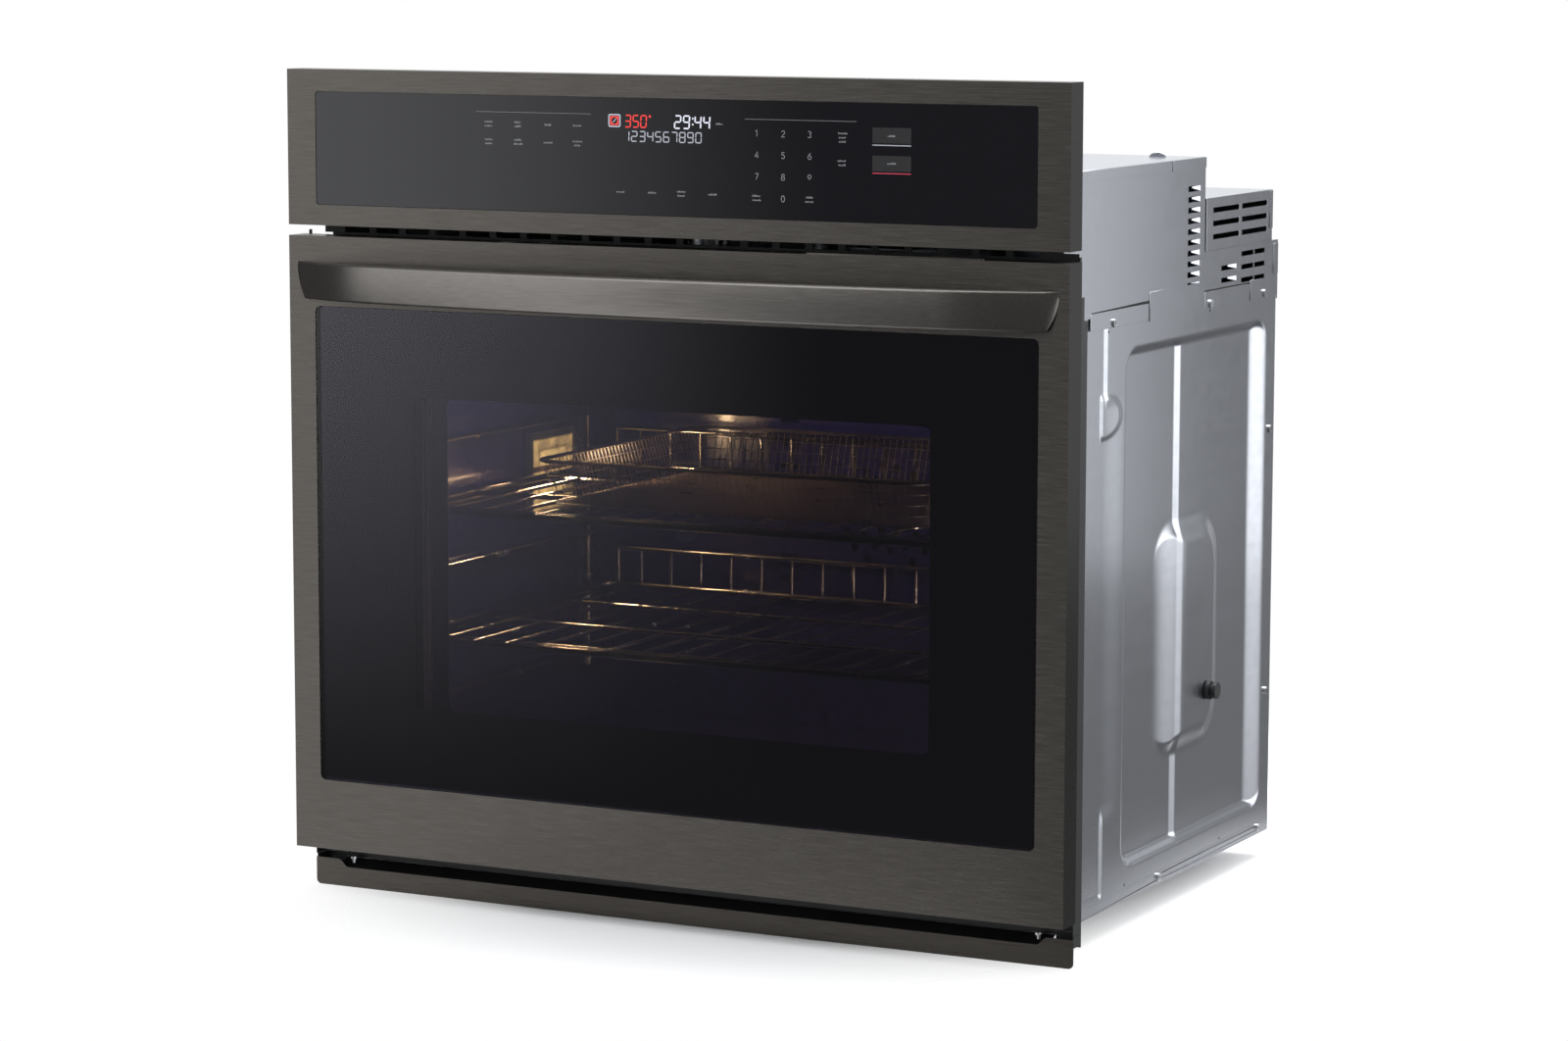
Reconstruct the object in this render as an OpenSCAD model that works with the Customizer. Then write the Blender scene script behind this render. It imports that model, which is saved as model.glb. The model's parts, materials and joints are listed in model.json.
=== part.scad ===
// Built-in single wall oven with a drop-down door, two sliding racks and a
// convection fan. Millimetres. X runs to the right as seen from the front, Y runs
// back into the cabinet and Z runs up. The origin is on the base, at mid width,
// in the plane of the cabinet face that the side flanges screw to.

/* [Front] */
// Width of the door and of the control panel
front_w = 755.6; // [745:0.1:765]
// Height of the control panel
panel_h = 138; // [130:0.5:150]
// Height of the door
door_h = 554.5; // [550:0.5:560]
// Gap between the door and the control panel, where cooling air leaves
vent_gap = 9.5; // [8:0.5:12]
// Depth of the door's outer skin
door_d = 26; // [25:0.5:28]
// Distance from the cabinet face to the back edge of the door skin
door_off = 20; // [19:0.5:21]
// Depth of the control panel
panel_d = 25; // [22:0.5:27]

/* [Handle] */
// How far the middle of the handle stands out of the door
handle_out = 42; // [38:0.5:46]
// Height of the handle's flat face
handle_h = 33; // [28:0.5:36]
// Thickness of the handle bar
handle_t = 12; // [10:0.5:14]

/* [Body] */
// Width of the body that goes into the cabinet
body_w = 704; // [702:0.5:708]
// Depth of the body behind the cabinet face
body_d = 504; // [500:1:515]
// Height of the side panels
side_h = 517; // [516:0.5:518]
// Depth of the electrical housing on top
housing_d = 321; // [315:1:325]
// Height of the top of the electrical housing
housing_top = 642; // [635:1:645]
// Sheet thickness of the casing
sheet = 1.2; // [1:0.1:1.5]

/* [Cavity] */
// Inside width of the cavity
cavity_w = 632; // [630:1:634]
// Inside depth of the cavity
cavity_d = 440; // [438:1:442]
// Height of the cavity floor above the base
cavity_z = 75; // [74:1:76]
// Inside height of the cavity
cavity_h = 425; // [422:1:427]
// Height of the lower rack
lower_rack_z = 205; // [203:1:207]
// Spacing of the rack positions
rack_pitch = 59; // [58:0.5:60]

/* [Hidden] */
$fn = 48;

// Small overshoot for cuts
cut = 1;
// Gap between neighbouring pieces that don't touch
gap = 0.3;

// Front heights and depths
door_z = 16.5;
door_top = door_z + door_h;
panel_z = door_top + vent_gap;
panel_top = panel_z + panel_h;
y_skin = -door_off;
y_front = y_skin - door_d;
y_panel_back = y_front + panel_d;

// Glass set into the control panel and the door
glass_t = 4;
glass_inset = 0.4;
glass_play = 0.4;
ledge_w = 9;
panel_glass_w = 697.2;
panel_glass_z = [panel_z + 18.3, panel_top - 19.4];
door_glass_w = 702;
door_glass_z = [door_z + 63.3, door_top - 62.2];
glass_corner = 6;

// Front frame, vent and trims
frame_t = 1.5;
frame_top = 556;
vent_y = -14;
vent_top = 592;
trim_front = -17.5;
trim_w = 750;
trim_z = [-23.5, 1.5];
side_trim_z = [4.5, 574.5];
trim_hole_r = 2.6;
trim_hole_x = 364;
trim_hole_z = [80, 470];

// Door hinge line, just above the door's bottom back corner
hinge_y = -20;
hinge_z = 18;
hinge_x = 335;
pin_r = 2.5;
pin_play = 0.05;
knuckle_r = 5.5;
leaf_w = 7.4;
cheek_w = 5.5;
hinge_slot = 24;

// Door inner panel and its window
inner_back = -9;
inner_w = 690;
inner_z = [32, frame_top];
flange_y = [-24, -22.8];
window_w = 474;
window_z = [145, 427];
jamb_w = 504;
jamb_z = [130, 442];
jamb_front = -29.8;

// Latch and door switch
latch_z = 563;
latch_w = 12;
latch_h = 6;
switch_x = -60;
plunger_r = 3;

// Cavity
cavity_r = 14;
cavity_top = cavity_z + cavity_h;
liner_t = 1.2;
side_x = body_w / 2;
wall_x = cavity_w / 2;
deck_z = side_h - 1.5;

// Racks and their guides
rack_w = 608;
rack_y = [14, 400];
rack_r = 3.2;
rack_wire_r = 1.7;
rack_wire_step = 33;
rack_guard_h = 36;
rack_corner = 16;
rail_r = 3;
rail_x = 308;
rail_y = [28, 412];
guide_levels = 6;
lower_rail_z = lower_rack_z - rack_r - rail_r - 0.4;
upper_rack_z = lower_rack_z + 2 * rack_pitch;

// Heating elements, fan and sensor
tube_r = 3.2;
element_step = 84;
element_runs = 6;
broil_z = 478;
bake_z = 62;
fan_z = 287;
fan_cover_w = 260;
fan_cover_y = 410;
fan_y = [417, 433];
fan_r = 72;
shaft_r = 4;
ring_r = 96;
ring_y = 426;
ring_leg_x = 12;
ring_leg_r = 3.9;
ring_leg_z = fan_z + sqrt(ring_r * ring_r - ring_leg_x * ring_leg_x);
sensor_x = -200;
sensor_z = 440;
terminal_y = 468;

// Oven lamp in the left wall
lamp_y = [270, 350];
lamp_z = [287, 359];
lens_lip = 5;

// Cooling blower on the deck
blower_x = 110;
blower_y = 200;
blower_h = 50;
blower_r = 78;
wheel_r = 66;
wheel_z = side_h + 6;
wheel_h = 36;
duct_back = 96;

// Covers at the back
rear_box_z = [557.5, 604.7];
rear_box_y = [325, 491];
lower_cover_back = 507;
back_lap_z = 502.7;
gland_x = -280;
gland_z = 538;
gland_r = 11;

// Side embossing
emboss_d = 4;
emboss_y = [98, 468];
emboss_z = [30, 483];
emboss_r = 20;
boss_y = [237, 371];
boss_z = [125, 330];
boss_r = 34;
bumper_y = 343;
bumper_z = 158;

// Screws on each side of the body, as [y, z]
side_screws = [
    [229, 6.6], [477, 6.6], [111, 510], [336, 510], [472, 510],
    [492, 382], [492, 135]
];
screw_r = 1.9;
screw_hole_r = 2;
screw_head_r = 3.8;
screw_head_h = 2;
screw_l = 4;

black_steel = [0.33, 0.31, 0.29];
black_paint = [0.08, 0.08, 0.09];
zinc = [0.66, 0.69, 0.73];
porcelain = [0.12, 0.12, 0.17];
chrome = [0.78, 0.78, 0.8];
smoked = [0.06, 0.06, 0.07, 0.6];
board_green = [0.1, 0.35, 0.2];

// ---- helpers -------------------------------------------------------------

// Box between two x, two y and two z values
module block(x, y, z) {
    translate([x[0], y[0], z[0]])
        cube([x[1] - x[0], y[1] - y[0], z[1] - z[0]]);
}

// Box centred on x = 0
module wide(w, y, z) {
    block([-w / 2, w / 2], y, z);
}

// Rectangle with round corners, centred
module round_rect(w, h, r) {
    square([w - 2 * r, h], center = true);
    square([w, h - 2 * r], center = true);
    for (sx = [-1, 1], sy = [-1, 1])
        translate([sx * (w / 2 - r), sy * (h / 2 - r)])
            circle(r);
}

// Slab with round corners that faces along Y
module pane(w, y, z, r) {
    translate([0, y[1], (z[0] + z[1]) / 2])
        rotate([90, 0, 0])
            linear_extrude(y[1] - y[0])
                round_rect(w, z[1] - z[0], r);
}

// Slab with round corners that faces along X
module side_pane(x, y, z, r) {
    translate([x[0], (y[0] + y[1]) / 2, (z[0] + z[1]) / 2])
        rotate([90, 0, 90])
            linear_extrude(x[1] - x[0])
                round_rect(y[1] - y[0], z[1] - z[0], r);
}

// Round bars along each axis
module bar_x(x, y, z, r) {
    translate([x[0], y, z])
        rotate([0, 90, 0])
            cylinder(r = r, h = x[1] - x[0]);
}

module bar_y(x, y, z, r) {
    translate([x, y[1], z])
        rotate([90, 0, 0])
            cylinder(r = r, h = y[1] - y[0]);
}

module bar_z(x, y, z, r) {
    translate([x, y, z[0]])
        cylinder(r = r, h = z[1] - z[0]);
}

// Bent piece of bar in a horizontal plane
module bend(x, y, z, radius, r, start, sweep) {
    translate([x, y, z])
        rotate([0, 0, start])
            rotate_extrude(angle = sweep, $fn = 64)
                translate([radius, 0])
                    circle(r);
}

module mirrored_pair() {
    children();
    mirror([1, 0, 0])
        children();
}

// Cross-recess screw with its shank along -X and its head outside x = 0
module screw() {
    rotate([0, -90, 0])
        cylinder(r = screw_r, h = screw_l);
    rotate([0, 90, 0])
        difference() {
            cylinder(r = screw_head_r, h = screw_head_h);
            for (a = [0, 90])
                rotate([0, 0, a])
                    translate([0, 0, screw_head_h])
                        cube([4, 0.9, 1.6], center = true);
        }
}

// Face plate with returns, and a ledge that carries a glass set into it
module glazed_shell(y_back, z, glass_w, glass_z, r) {
    pocket_y = y_front + glass_inset + glass_t;
    difference() {
        union() {
            difference() {
                wide(front_w, [y_front, y_back], z);
                wide(front_w - 2 * sheet, [y_front + sheet, y_back + cut],
                     [z[0] + sheet, z[1] - sheet]);
            }
            pane(glass_w + 2 * sheet, [y_front, pocket_y + sheet],
                 [glass_z[0] - sheet, glass_z[1] + sheet], r + sheet);
        }
        pane(glass_w, [y_front - cut, pocket_y], glass_z, r);
        pane(glass_w - 2 * ledge_w, [y_front, pocket_y + sheet + cut],
             [glass_z[0] + ledge_w, glass_z[1] - ledge_w], r);
    }
}

module set_glass(glass_w, glass_z, r) {
    pane(glass_w - 2 * glass_play,
         [y_front + glass_inset, y_front + glass_inset + glass_t],
         [glass_z[0] + glass_play, glass_z[1] - glass_play], r);
}

// ---- control panel -------------------------------------------------------

module control_panel_frame() {
    color(black_steel)
        glazed_shell(y_panel_back, [panel_z, panel_top], panel_glass_w,
                     panel_glass_z, 3);
}

module control_glass() {
    color(smoked)
        set_glass(panel_glass_w, panel_glass_z, 3);
}

display_back = y_front + glass_inset + glass_t + 6;
board_y = [display_back, display_back + 1.6];

module display_module() {
    color("dimgray")
        block([-70, 75], [display_back - 6, display_back],
              [panel_z + 62, panel_z + 100]);
}

module control_board() {
    color(board_green) {
        block([-200, 330], board_y, [panel_z + 32, panel_z + 104]);
        for (i = [0:4])
            block([-170 + i * 100, -140 + i * 100],
                  [board_y[1], board_y[1] + 9],
                  [panel_z + 50, panel_z + 68]);
    }
}

// Plate that closes the back of the control panel and carries it on the housing
module panel_chassis() {
    inset = sheet + 0.4;
    color(black_paint) {
        wide(front_w - 2 * inset, [y_panel_back, y_panel_back + sheet],
             [panel_z + inset, panel_top - inset]);
        wide(body_w, [y_panel_back + sheet, 3], [vent_top, vent_top + sheet]);
        wide(body_w, [3 - sheet, 3], [vent_top + sheet, housing_top]);
    }
}

// ---- frame, vent and trims -----------------------------------------------

module vent_trim() {
    slots = 22;
    slot_step = 31;
    color(black_paint)
        difference() {
            wide(body_w, [vent_y, 2.5], [frame_top, vent_top]);
            wide(body_w - 2 * sheet, [vent_y + sheet, 2.5 + cut],
                 [frame_top + sheet, vent_top - sheet]);
            for (i = [0:slots - 1])
                translate([(i - (slots - 1) / 2) * slot_step, 0, 0])
                    wide(24, [vent_y - cut, vent_y + sheet + cut],
                         [door_top + 2, door_top + 7]);
            wide(latch_w + 2, [vent_y - cut, vent_y + sheet + cut],
                 [latch_z - 4, latch_z + 4]);
            bar_y(switch_x, [vent_y - cut, vent_y + sheet + cut],
                  latch_z, plunger_r + 0.5);
        }
}

module front_frame() {
    color(black_paint)
        difference() {
            wide(body_w, [-frame_t, 0], [sheet, frame_top]);
            pane(cavity_w, [-frame_t - cut, cut], [cavity_z, cavity_top],
                 cavity_r);
            for (s = [-1, 1])
                translate([s * hinge_x, 0, 0])
                    wide(hinge_slot, [-frame_t - cut, cut], [10, 27]);
        }
}

// Channel that closes the side between the door and the cabinet. Its back
// flange screws to the cabinet, and its upper end steps forward twice.
module side_trim() {
    step_z = 521;
    tab_z = 541;
    outer = trim_w / 2;
    inner = side_x + gap;
    color(black_paint)
        difference() {
            block([inner, outer], [trim_front, 0], side_trim_z);
            block([inner - cut, outer - sheet],
                  [trim_front - cut, -sheet], [0, side_trim_z[1] + cut]);
            block([inner - cut, outer + cut], [-7, cut], [step_z, tab_z + cut]);
            block([inner - cut, outer + cut], [-13.5, cut],
                  [tab_z, side_trim_z[1] + cut]);
            for (z = trim_hole_z)
                bar_y(trim_hole_x, [-sheet - cut, cut], z, trim_hole_r);
        }
}

module side_trim_left() {
    mirror([1, 0, 0])
        side_trim();
}

module side_trim_right() {
    side_trim();
}

// Front strip under the door with a ledge that screws to the base
module bottom_trim() {
    corner = 4.5;
    color(black_steel)
        difference() {
            union() {
                pane(trim_w, [trim_front, trim_front + sheet], trim_z, corner);
                wide(trim_w, [trim_front, trim_front + sheet],
                     [trim_z[1] - 2 * corner, trim_z[1]]);
                wide(trim_w - 46, [trim_front, -frame_t],
                     [trim_z[1] - sheet, trim_z[1]]);
            }
            for (s = [-1, 1])
                bar_z(s * 340, -9, [trim_z[1] - sheet - cut, trim_z[1] + cut],
                      screw_hole_r);
        }
}

module trim_screws() {
    color(chrome)
        for (s = [-1, 1])
            translate([s * 340, -9, trim_z[1]])
                rotate([0, -90, 0])
                    screw();
}

module door_gasket() {
    seal_w = 8;
    color("dimgray")
        difference() {
            pane(cavity_w + 4 + 2 * seal_w, [inner_back + gap, -frame_t],
                 [cavity_z - 2 - seal_w, cavity_top + 2 + seal_w],
                 cavity_r + seal_w);
            pane(cavity_w + 4, [inner_back, 0],
                 [cavity_z - 2, cavity_top + 2], cavity_r);
        }
}

// ---- cavity ----------------------------------------------------------------

module cavity_liner() {
    back = [cavity_d - cut, cavity_d + liner_t + cut];
    color(porcelain)
        difference() {
            pane(cavity_w + 2 * liner_t, [0, cavity_d + liner_t],
                 [cavity_z - liner_t, cavity_top + liner_t],
                 cavity_r + liner_t);
            pane(cavity_w, [-cut, cavity_d], [cavity_z, cavity_top], cavity_r);
            block([-wall_x - liner_t - cut, -wall_x + cut], lamp_y, lamp_z);
            bar_y(0, back, fan_z, shaft_r + 4);
            bar_y(sensor_x, back, sensor_z, 3.2);
            for (s = [-1, 1]) {
                bar_y(s * element_step * 2.5, back, broil_z, tube_r + 0.5);
                bar_y(s * ring_leg_x, back, ring_leg_z, ring_leg_r + 0.5);
            }
        }
}

// Wire ladder that carries the racks
module rack_guide() {
    guide_z = [lower_rail_z - rack_pitch - 14,
               lower_rail_z + (guide_levels - 2) * rack_pitch + 14];
    color(chrome) {
        for (y = [60, 380])
            bar_z(wall_x - rail_r, y, guide_z, rail_r);
        for (i = [-1:guide_levels - 2])
            bar_y(rail_x, rail_y, lower_rail_z + i * rack_pitch, rail_r);
    }
}

module rack_guide_left() {
    mirror([1, 0, 0])
        rack_guide();
}

module rack_guide_right() {
    rack_guide();
}

// Serpentine sheathed element: straight runs joined by half-round bends,
// with both ends going out through the back
module serpentine(z, y, y_end) {
    last = element_runs - 1;
    x_at = function(i) (i - last / 2) * element_step;
    bend_r = element_step / 2;
    for (i = [0:last]) {
        outer_run = i == 0 || i == last;
        bar_y(x_at(i), [y[0], outer_run ? y_end : y[1]], z, tube_r);
    }
    for (i = [0:last - 1])
        if (i % 2 == 0)
            bend(x_at(i) + bend_r, y[0], z, bend_r, tube_r, 180, 180);
        else
            bend(x_at(i) + bend_r, y[1], z, bend_r, tube_r, 0, 180);
}

module bake_element() {
    color("dimgray")
        serpentine(bake_z, [80, 340], terminal_y);
}

module broil_element() {
    color("dimgray")
        serpentine(broil_z, [80, 340], terminal_y);
}

module fan_cover() {
    z = [fan_z - fan_cover_w / 2, fan_z + fan_cover_w / 2];
    hole_r = 4;
    color(porcelain)
        difference() {
            pane(fan_cover_w, [fan_cover_y, cavity_d], z, 24);
            pane(fan_cover_w - 2 * liner_t,
                 [fan_cover_y + liner_t, cavity_d + cut],
                 [z[0] + liner_t, z[1] - liner_t], 24 - liner_t);
            for (ring = [1:3], i = [0:6 * ring - 1])
                let (a = i * 60 / ring, radius = 16 * ring)
                    bar_y(radius * cos(a),
                          [fan_cover_y - cut, fan_cover_y + liner_t + cut],
                          fan_z + radius * sin(a), hole_r);
            for (s = [-1, 1], i = [-4:4])
                block([s > 0 ? 96 : -116, s > 0 ? 116 : -96],
                      [fan_cover_y - cut, fan_cover_y + liner_t + cut],
                      [fan_z + i * 22 - 3, fan_z + i * 22 + 3]);
        }
}

// Ring element round the fan, with two ends going out through the back wall
module convection_element() {
    half_gap = asin(ring_leg_x / ring_r);
    color("dimgray") {
        translate([0, ring_y, fan_z])
            rotate([90, 0, 0])
                rotate([0, 0, 90 + half_gap])
                    rotate_extrude(angle = 360 - 2 * half_gap, $fn = 96)
                        translate([ring_r, 0])
                            circle(tube_r);
        for (s = [-1, 1])
            bar_y(s * ring_leg_x, [ring_y - ring_leg_r - 0.5, terminal_y],
                  ring_leg_z, ring_leg_r);
    }
}

module convection_motor() {
    color(zinc) {
        bar_y(0, [fan_y[0] - 1, cavity_d + 4], fan_z, shaft_r);
        bar_y(0, [cavity_d + 4, body_d - 8], fan_z, 36);
        wide(110, [cavity_d + liner_t, cavity_d + 4], [fan_z - 10, fan_z + 10]);
    }
}

module convection_fan() {
    blades = 8;
    color("silver")
        difference() {
            union() {
                bar_y(0, fan_y, fan_z, 12);
                bar_y(0, [fan_y[1] - 1.5, fan_y[1]], fan_z, 50);
                for (i = [0:blades - 1])
                    translate([0, 0, fan_z])
                        rotate([0, i * 360 / blades, 0])
                            block([10, fan_r], [fan_y[0] + 1, fan_y[1]],
                                  [-0.8, 0.8]);
            }
            bar_y(0, [fan_y[0] - cut, fan_y[1] + cut], fan_z,
                  shaft_r + pin_play);
        }
}

module lamp_lens() {
    color([1, 0.9, 0.65, 0.5])
        side_pane([-wall_x, -wall_x + 4.5],
                  [lamp_y[0] - lens_lip, lamp_y[1] + lens_lip],
                  [lamp_z[0] - lens_lip, lamp_z[1] + lens_lip], 5);
}

module lamp_housing() {
    depth = [-wall_x - 28, -wall_x - liner_t];
    color(zinc)
        difference() {
            block(depth, lamp_y, lamp_z);
            block([depth[0] + sheet, depth[1] + cut],
                  [lamp_y[0] + sheet, lamp_y[1] - sheet],
                  [lamp_z[0] + sheet, lamp_z[1] - sheet]);
        }
}

module lamp_bulb() {
    mid_z = (lamp_z[0] + lamp_z[1]) / 2;
    color("lightyellow") {
        bar_y(-wall_x - 15, [lamp_y[0] + sheet, lamp_y[0] + 22], mid_z, 8);
        bar_y(-wall_x - 15, [lamp_y[0] + 22, lamp_y[0] + 60], mid_z, 6);
        translate([-wall_x - 15, lamp_y[0] + 60, mid_z])
            sphere(6);
    }
}

module temperature_sensor() {
    color(chrome) {
        bar_y(sensor_x, [375, cavity_d + 14], sensor_z, 2.6);
        block([sensor_x - 20, sensor_x + 20],
              [cavity_d + liner_t, cavity_d + liner_t + 1.5],
              [sensor_z - 8, sensor_z + 8]);
    }
}

// Mineral wool wrapped round the cavity
module insulation() {
    outer_x = 340;
    inner_x = wall_x + liner_t + gap;
    back = [cavity_d + liner_t + gap, 456];
    color("khaki")
        difference() {
            wide(2 * outer_x, [6, back[1]], [30, deck_z - 1]);
            wide(2 * inner_x, [0, back[0]], [54, cavity_top + liner_t + gap]);
            for (s = [-1, 1]) {
                translate([s * 335, 0, 0])
                    wide(34, [0, 94], [20, 64]);
                bar_y(s * element_step * 2.5, [430, 470], broil_z, 5);
                bar_y(s * element_step * 2.5, [430, 470], bake_z, 5);
            }
            block([-346, -wall_x], [lamp_y[0] - 1, lamp_y[1] + 1],
                  [lamp_z[0] - 1, lamp_z[1] + 1]);
            bar_y(0, [430, 470], fan_z, 40);
            wide(112, [430, 470], [fan_z - 11, fan_z + 11]);
            wide(34, [430, 470], [ring_leg_z - 6, ring_leg_z + 6]);
            block([sensor_x - 22, sensor_x + 22], [430, 470],
                  [sensor_z - 10, sensor_z + 10]);
        }
}

// ---- casing ----------------------------------------------------------------

// Pressed side sheet with a recessed field and a raised boss inside it
module side_panel() {
    x_in = side_x - sheet;
    floor_x = x_in - emboss_d;
    grow = sheet;
    color(zinc)
        difference() {
            union() {
                block([x_in, side_x], [gap, body_d - sheet], [12, side_h]);
                side_pane([floor_x, x_in],
                          [emboss_y[0] - grow, emboss_y[1] + grow],
                          [emboss_z[0] - grow, emboss_z[1] + grow],
                          emboss_r + grow);
            }
            difference() {
                side_pane([floor_x + sheet, side_x + cut], emboss_y, emboss_z,
                          emboss_r);
                side_pane([floor_x, side_x + 2 * cut], boss_y, boss_z, boss_r);
            }
            side_pane([floor_x - cut, x_in],
                      [boss_y[0] + grow, boss_y[1] - grow],
                      [boss_z[0] + grow, boss_z[1] - grow], boss_r - grow);
            for (p = side_screws)
                bar_x([x_in - cut, side_x + cut], p[0], p[1], screw_hole_r);
            bar_x([x_in - cut, side_x + cut], bumper_y, bumper_z, 4);
        }
}

module side_panel_left() {
    mirror([1, 0, 0])
        side_panel();
}

module side_panel_right() {
    side_panel();
}

module base_pan() {
    color(zinc)
        difference() {
            union() {
                wide(body_w, [-frame_t, body_d], [0, sheet]);
                wide(body_w, [gap, body_d], [0, 12]);
            }
            wide(body_w - 2 * sheet, [gap - cut, body_d - sheet], [sheet, 12 + cut]);
            for (p = side_screws, s = [-1, 1])
                if (p[1] < 12)
                    bar_x([s > 0 ? side_x - 3 : -side_x - cut,
                           s > 0 ? side_x + cut : -side_x + 3],
                          p[0], p[1], screw_hole_r);
        }
}

module rear_panel() {
    color(zinc)
        difference() {
            wide(body_w, [body_d - sheet, body_d], [12, side_h - 0.5]);
            for (i = [-4:4])
                translate([i * 26, 0, 0])
                    wide(16, [body_d - sheet - cut, body_d + cut], [300, 304]);
        }
}

module deck_plate() {
    color(zinc)
        wide(body_w - 2 * sheet, [gap, body_d - sheet - gap],
             [deck_z, side_h]);
}

// Louvre slots that repeat down a side, mirrored to both sides
module side_slots(y, z_top, step, count, slot_h) {
    for (s = [-1, 1], i = [0:count - 1])
        translate([s * side_x, 0, 0])
            wide(8, y, [z_top - i * step - slot_h, z_top - i * step]);
}

module housing_cover() {
    lip = 0.8;
    top_lip = 10;
    y = [3, housing_d];
    color(zinc)
        difference() {
            union() {
                wide(body_w, y, [side_h, housing_top]);
                wide(body_w + 2 * lip, y, [housing_top - top_lip, housing_top]);
            }
            wide(body_w - 2 * sheet, [y[0] - cut, y[1] - sheet],
                 [side_h - cut, housing_top - sheet]);
            side_slots([276, 312], 618, 9.5, 10, 4.6);
        }
}

module rear_box_cover() {
    z = rear_box_z;
    color(zinc)
        difference() {
            wide(body_w, rear_box_y, z);
            wide(body_w - 2 * sheet, [rear_box_y[0] + sheet, rear_box_y[1] - sheet],
                 [z[0] - cut, z[1] - sheet]);
            side_slots([341, 406], 595.5, 12, 3, 4.5);
            side_slots([413, 477], 595.5, 12, 3, 4.5);
        }
}

module rear_lower_cover() {
    y = [housing_d + gap, lower_cover_back];
    z = [side_h, rear_box_z[0]];
    color(zinc)
        difference() {
            union() {
                wide(body_w, y, z);
                wide(body_w, [body_d + gap, y[1]], [back_lap_z, z[0]]);
            }
            wide(body_w - 2 * sheet, [y[0] + sheet, y[1] - sheet],
                 [z[0] - cut, z[1] - sheet]);
            wide(body_w - 2 * sheet, [body_d, y[1] - sheet],
                 [back_lap_z - cut, z[0]]);
            side_slots([413, 443], 552, 12, 3, 4.5);
            side_slots([446, 472], 552, 12, 3, 4.5);
            side_slots([363, 401], 542, 11, 2, 4.5);
            bar_y(gland_x, [y[1] - sheet - cut, y[1] + cut], gland_z,
                  gland_r + 3);
        }
}

// ---- things in the electrical housing ---------------------------------------

module blower_housing() {
    z = [side_h, side_h + blower_h];
    color(zinc)
        difference() {
            union() {
                bar_z(blower_x, blower_y, z, blower_r + sheet);
                block([blower_x, blower_x + blower_r + sheet],
                      [duct_back + gap, blower_y], z);
            }
            bar_z(blower_x, blower_y, [z[0] + sheet, z[1] - sheet], blower_r);
            block([blower_x + sheet, blower_x + blower_r],
                  [duct_back, blower_y], [z[0] + sheet, z[1] - sheet]);
            bar_z(blower_x, blower_y, [z[1] - sheet - cut, z[1] + cut], 46);
        }
}

module blower_wheel() {
    blades = 24;
    color("silver")
        difference() {
            union() {
                bar_z(blower_x, blower_y, [wheel_z, wheel_z + 1.5], wheel_r);
                bar_z(blower_x, blower_y, [wheel_z, wheel_z + 20], 10);
                for (i = [0:blades - 1])
                    translate([blower_x, blower_y, 0])
                        rotate([0, 0, i * 360 / blades])
                            block([wheel_r - 14, wheel_r], [-0.6, 0.6],
                                  [wheel_z + 1, wheel_z + wheel_h]);
            }
            bar_z(blower_x, blower_y, [wheel_z - cut, wheel_z + 20 + cut],
                  pin_r + pin_play);
        }
}

module blower_motor() {
    z = side_h + blower_h;
    color("dimgray") {
        bar_z(blower_x, blower_y, [wheel_z + 2, z + 6], pin_r);
        bar_z(blower_x, blower_y, [z + 6, z + 44], 32);
        for (a = [0:120:240])
            translate([blower_x, blower_y, 0])
                rotate([0, 0, a])
                    block([20, 62], [-5, 5], [z, z + 6.5]);
    }
}

// Flared duct from the blower to the vent behind the front
module exhaust_duct() {
    z = [side_h + sheet, side_h + blower_h - sheet];
    near = [blower_x, blower_x + blower_r + sheet];
    far = [blower_x - 50, blower_x + 150];
    y = [3, duct_back];
    color(zinc)
        translate([0, 0, z[0]])
            difference() {
                linear_extrude(z[1] - z[0])
                    polygon([[near[0], y[1]], [near[1], y[1]],
                             [far[1], y[0]], [far[0], y[0]]]);
                translate([0, 0, sheet])
                    linear_extrude(z[1] - z[0] - 2 * sheet)
                        polygon([[near[0] + 2, y[1] + cut],
                                 [near[1] - 2, y[1] + cut],
                                 [far[1] - 3, y[0] - cut],
                                 [far[0] + 3, y[0] - cut]]);
            }
}

module latch_housing() {
    play = 0.3;
    color(zinc)
        difference() {
            union() {
                block([-30, 30], [4, 60], [latch_z - 8, latch_z + 8]);
                bar_z(0, 40, [latch_z + 8, latch_z + 40], 18);
                for (x = [-26, 20])
                    block([x, x + 6], [30, 50], [side_h, latch_z - 8]);
            }
            block([-latch_w / 2 - play, latch_w / 2 + play], [3, 54],
                  [latch_z - latch_h / 2 - play, latch_z + latch_h / 2 + play]);
        }
}

module latch_bolt() {
    color(chrome)
        block([-latch_w / 2, latch_w / 2], [vent_y + sheet + 0.5, 50],
              [latch_z - latch_h / 2, latch_z + latch_h / 2]);
}

plunger_tip = flange_y[1] + 0.4;

module door_switch() {
    color("dimgray")
        difference() {
            union() {
                block([switch_x - 9, switch_x + 9], [4, 30],
                      [latch_z - 14, latch_z + 8]);
                block([switch_x - 6, switch_x + 6], [12, 24],
                      [side_h, latch_z - 14]);
            }
            bar_y(switch_x, [3, 22], latch_z, plunger_r + pin_play);
        }
}

module switch_plunger() {
    color("white")
        bar_y(switch_x, [plunger_tip, 17], latch_z, plunger_r);
}

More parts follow.
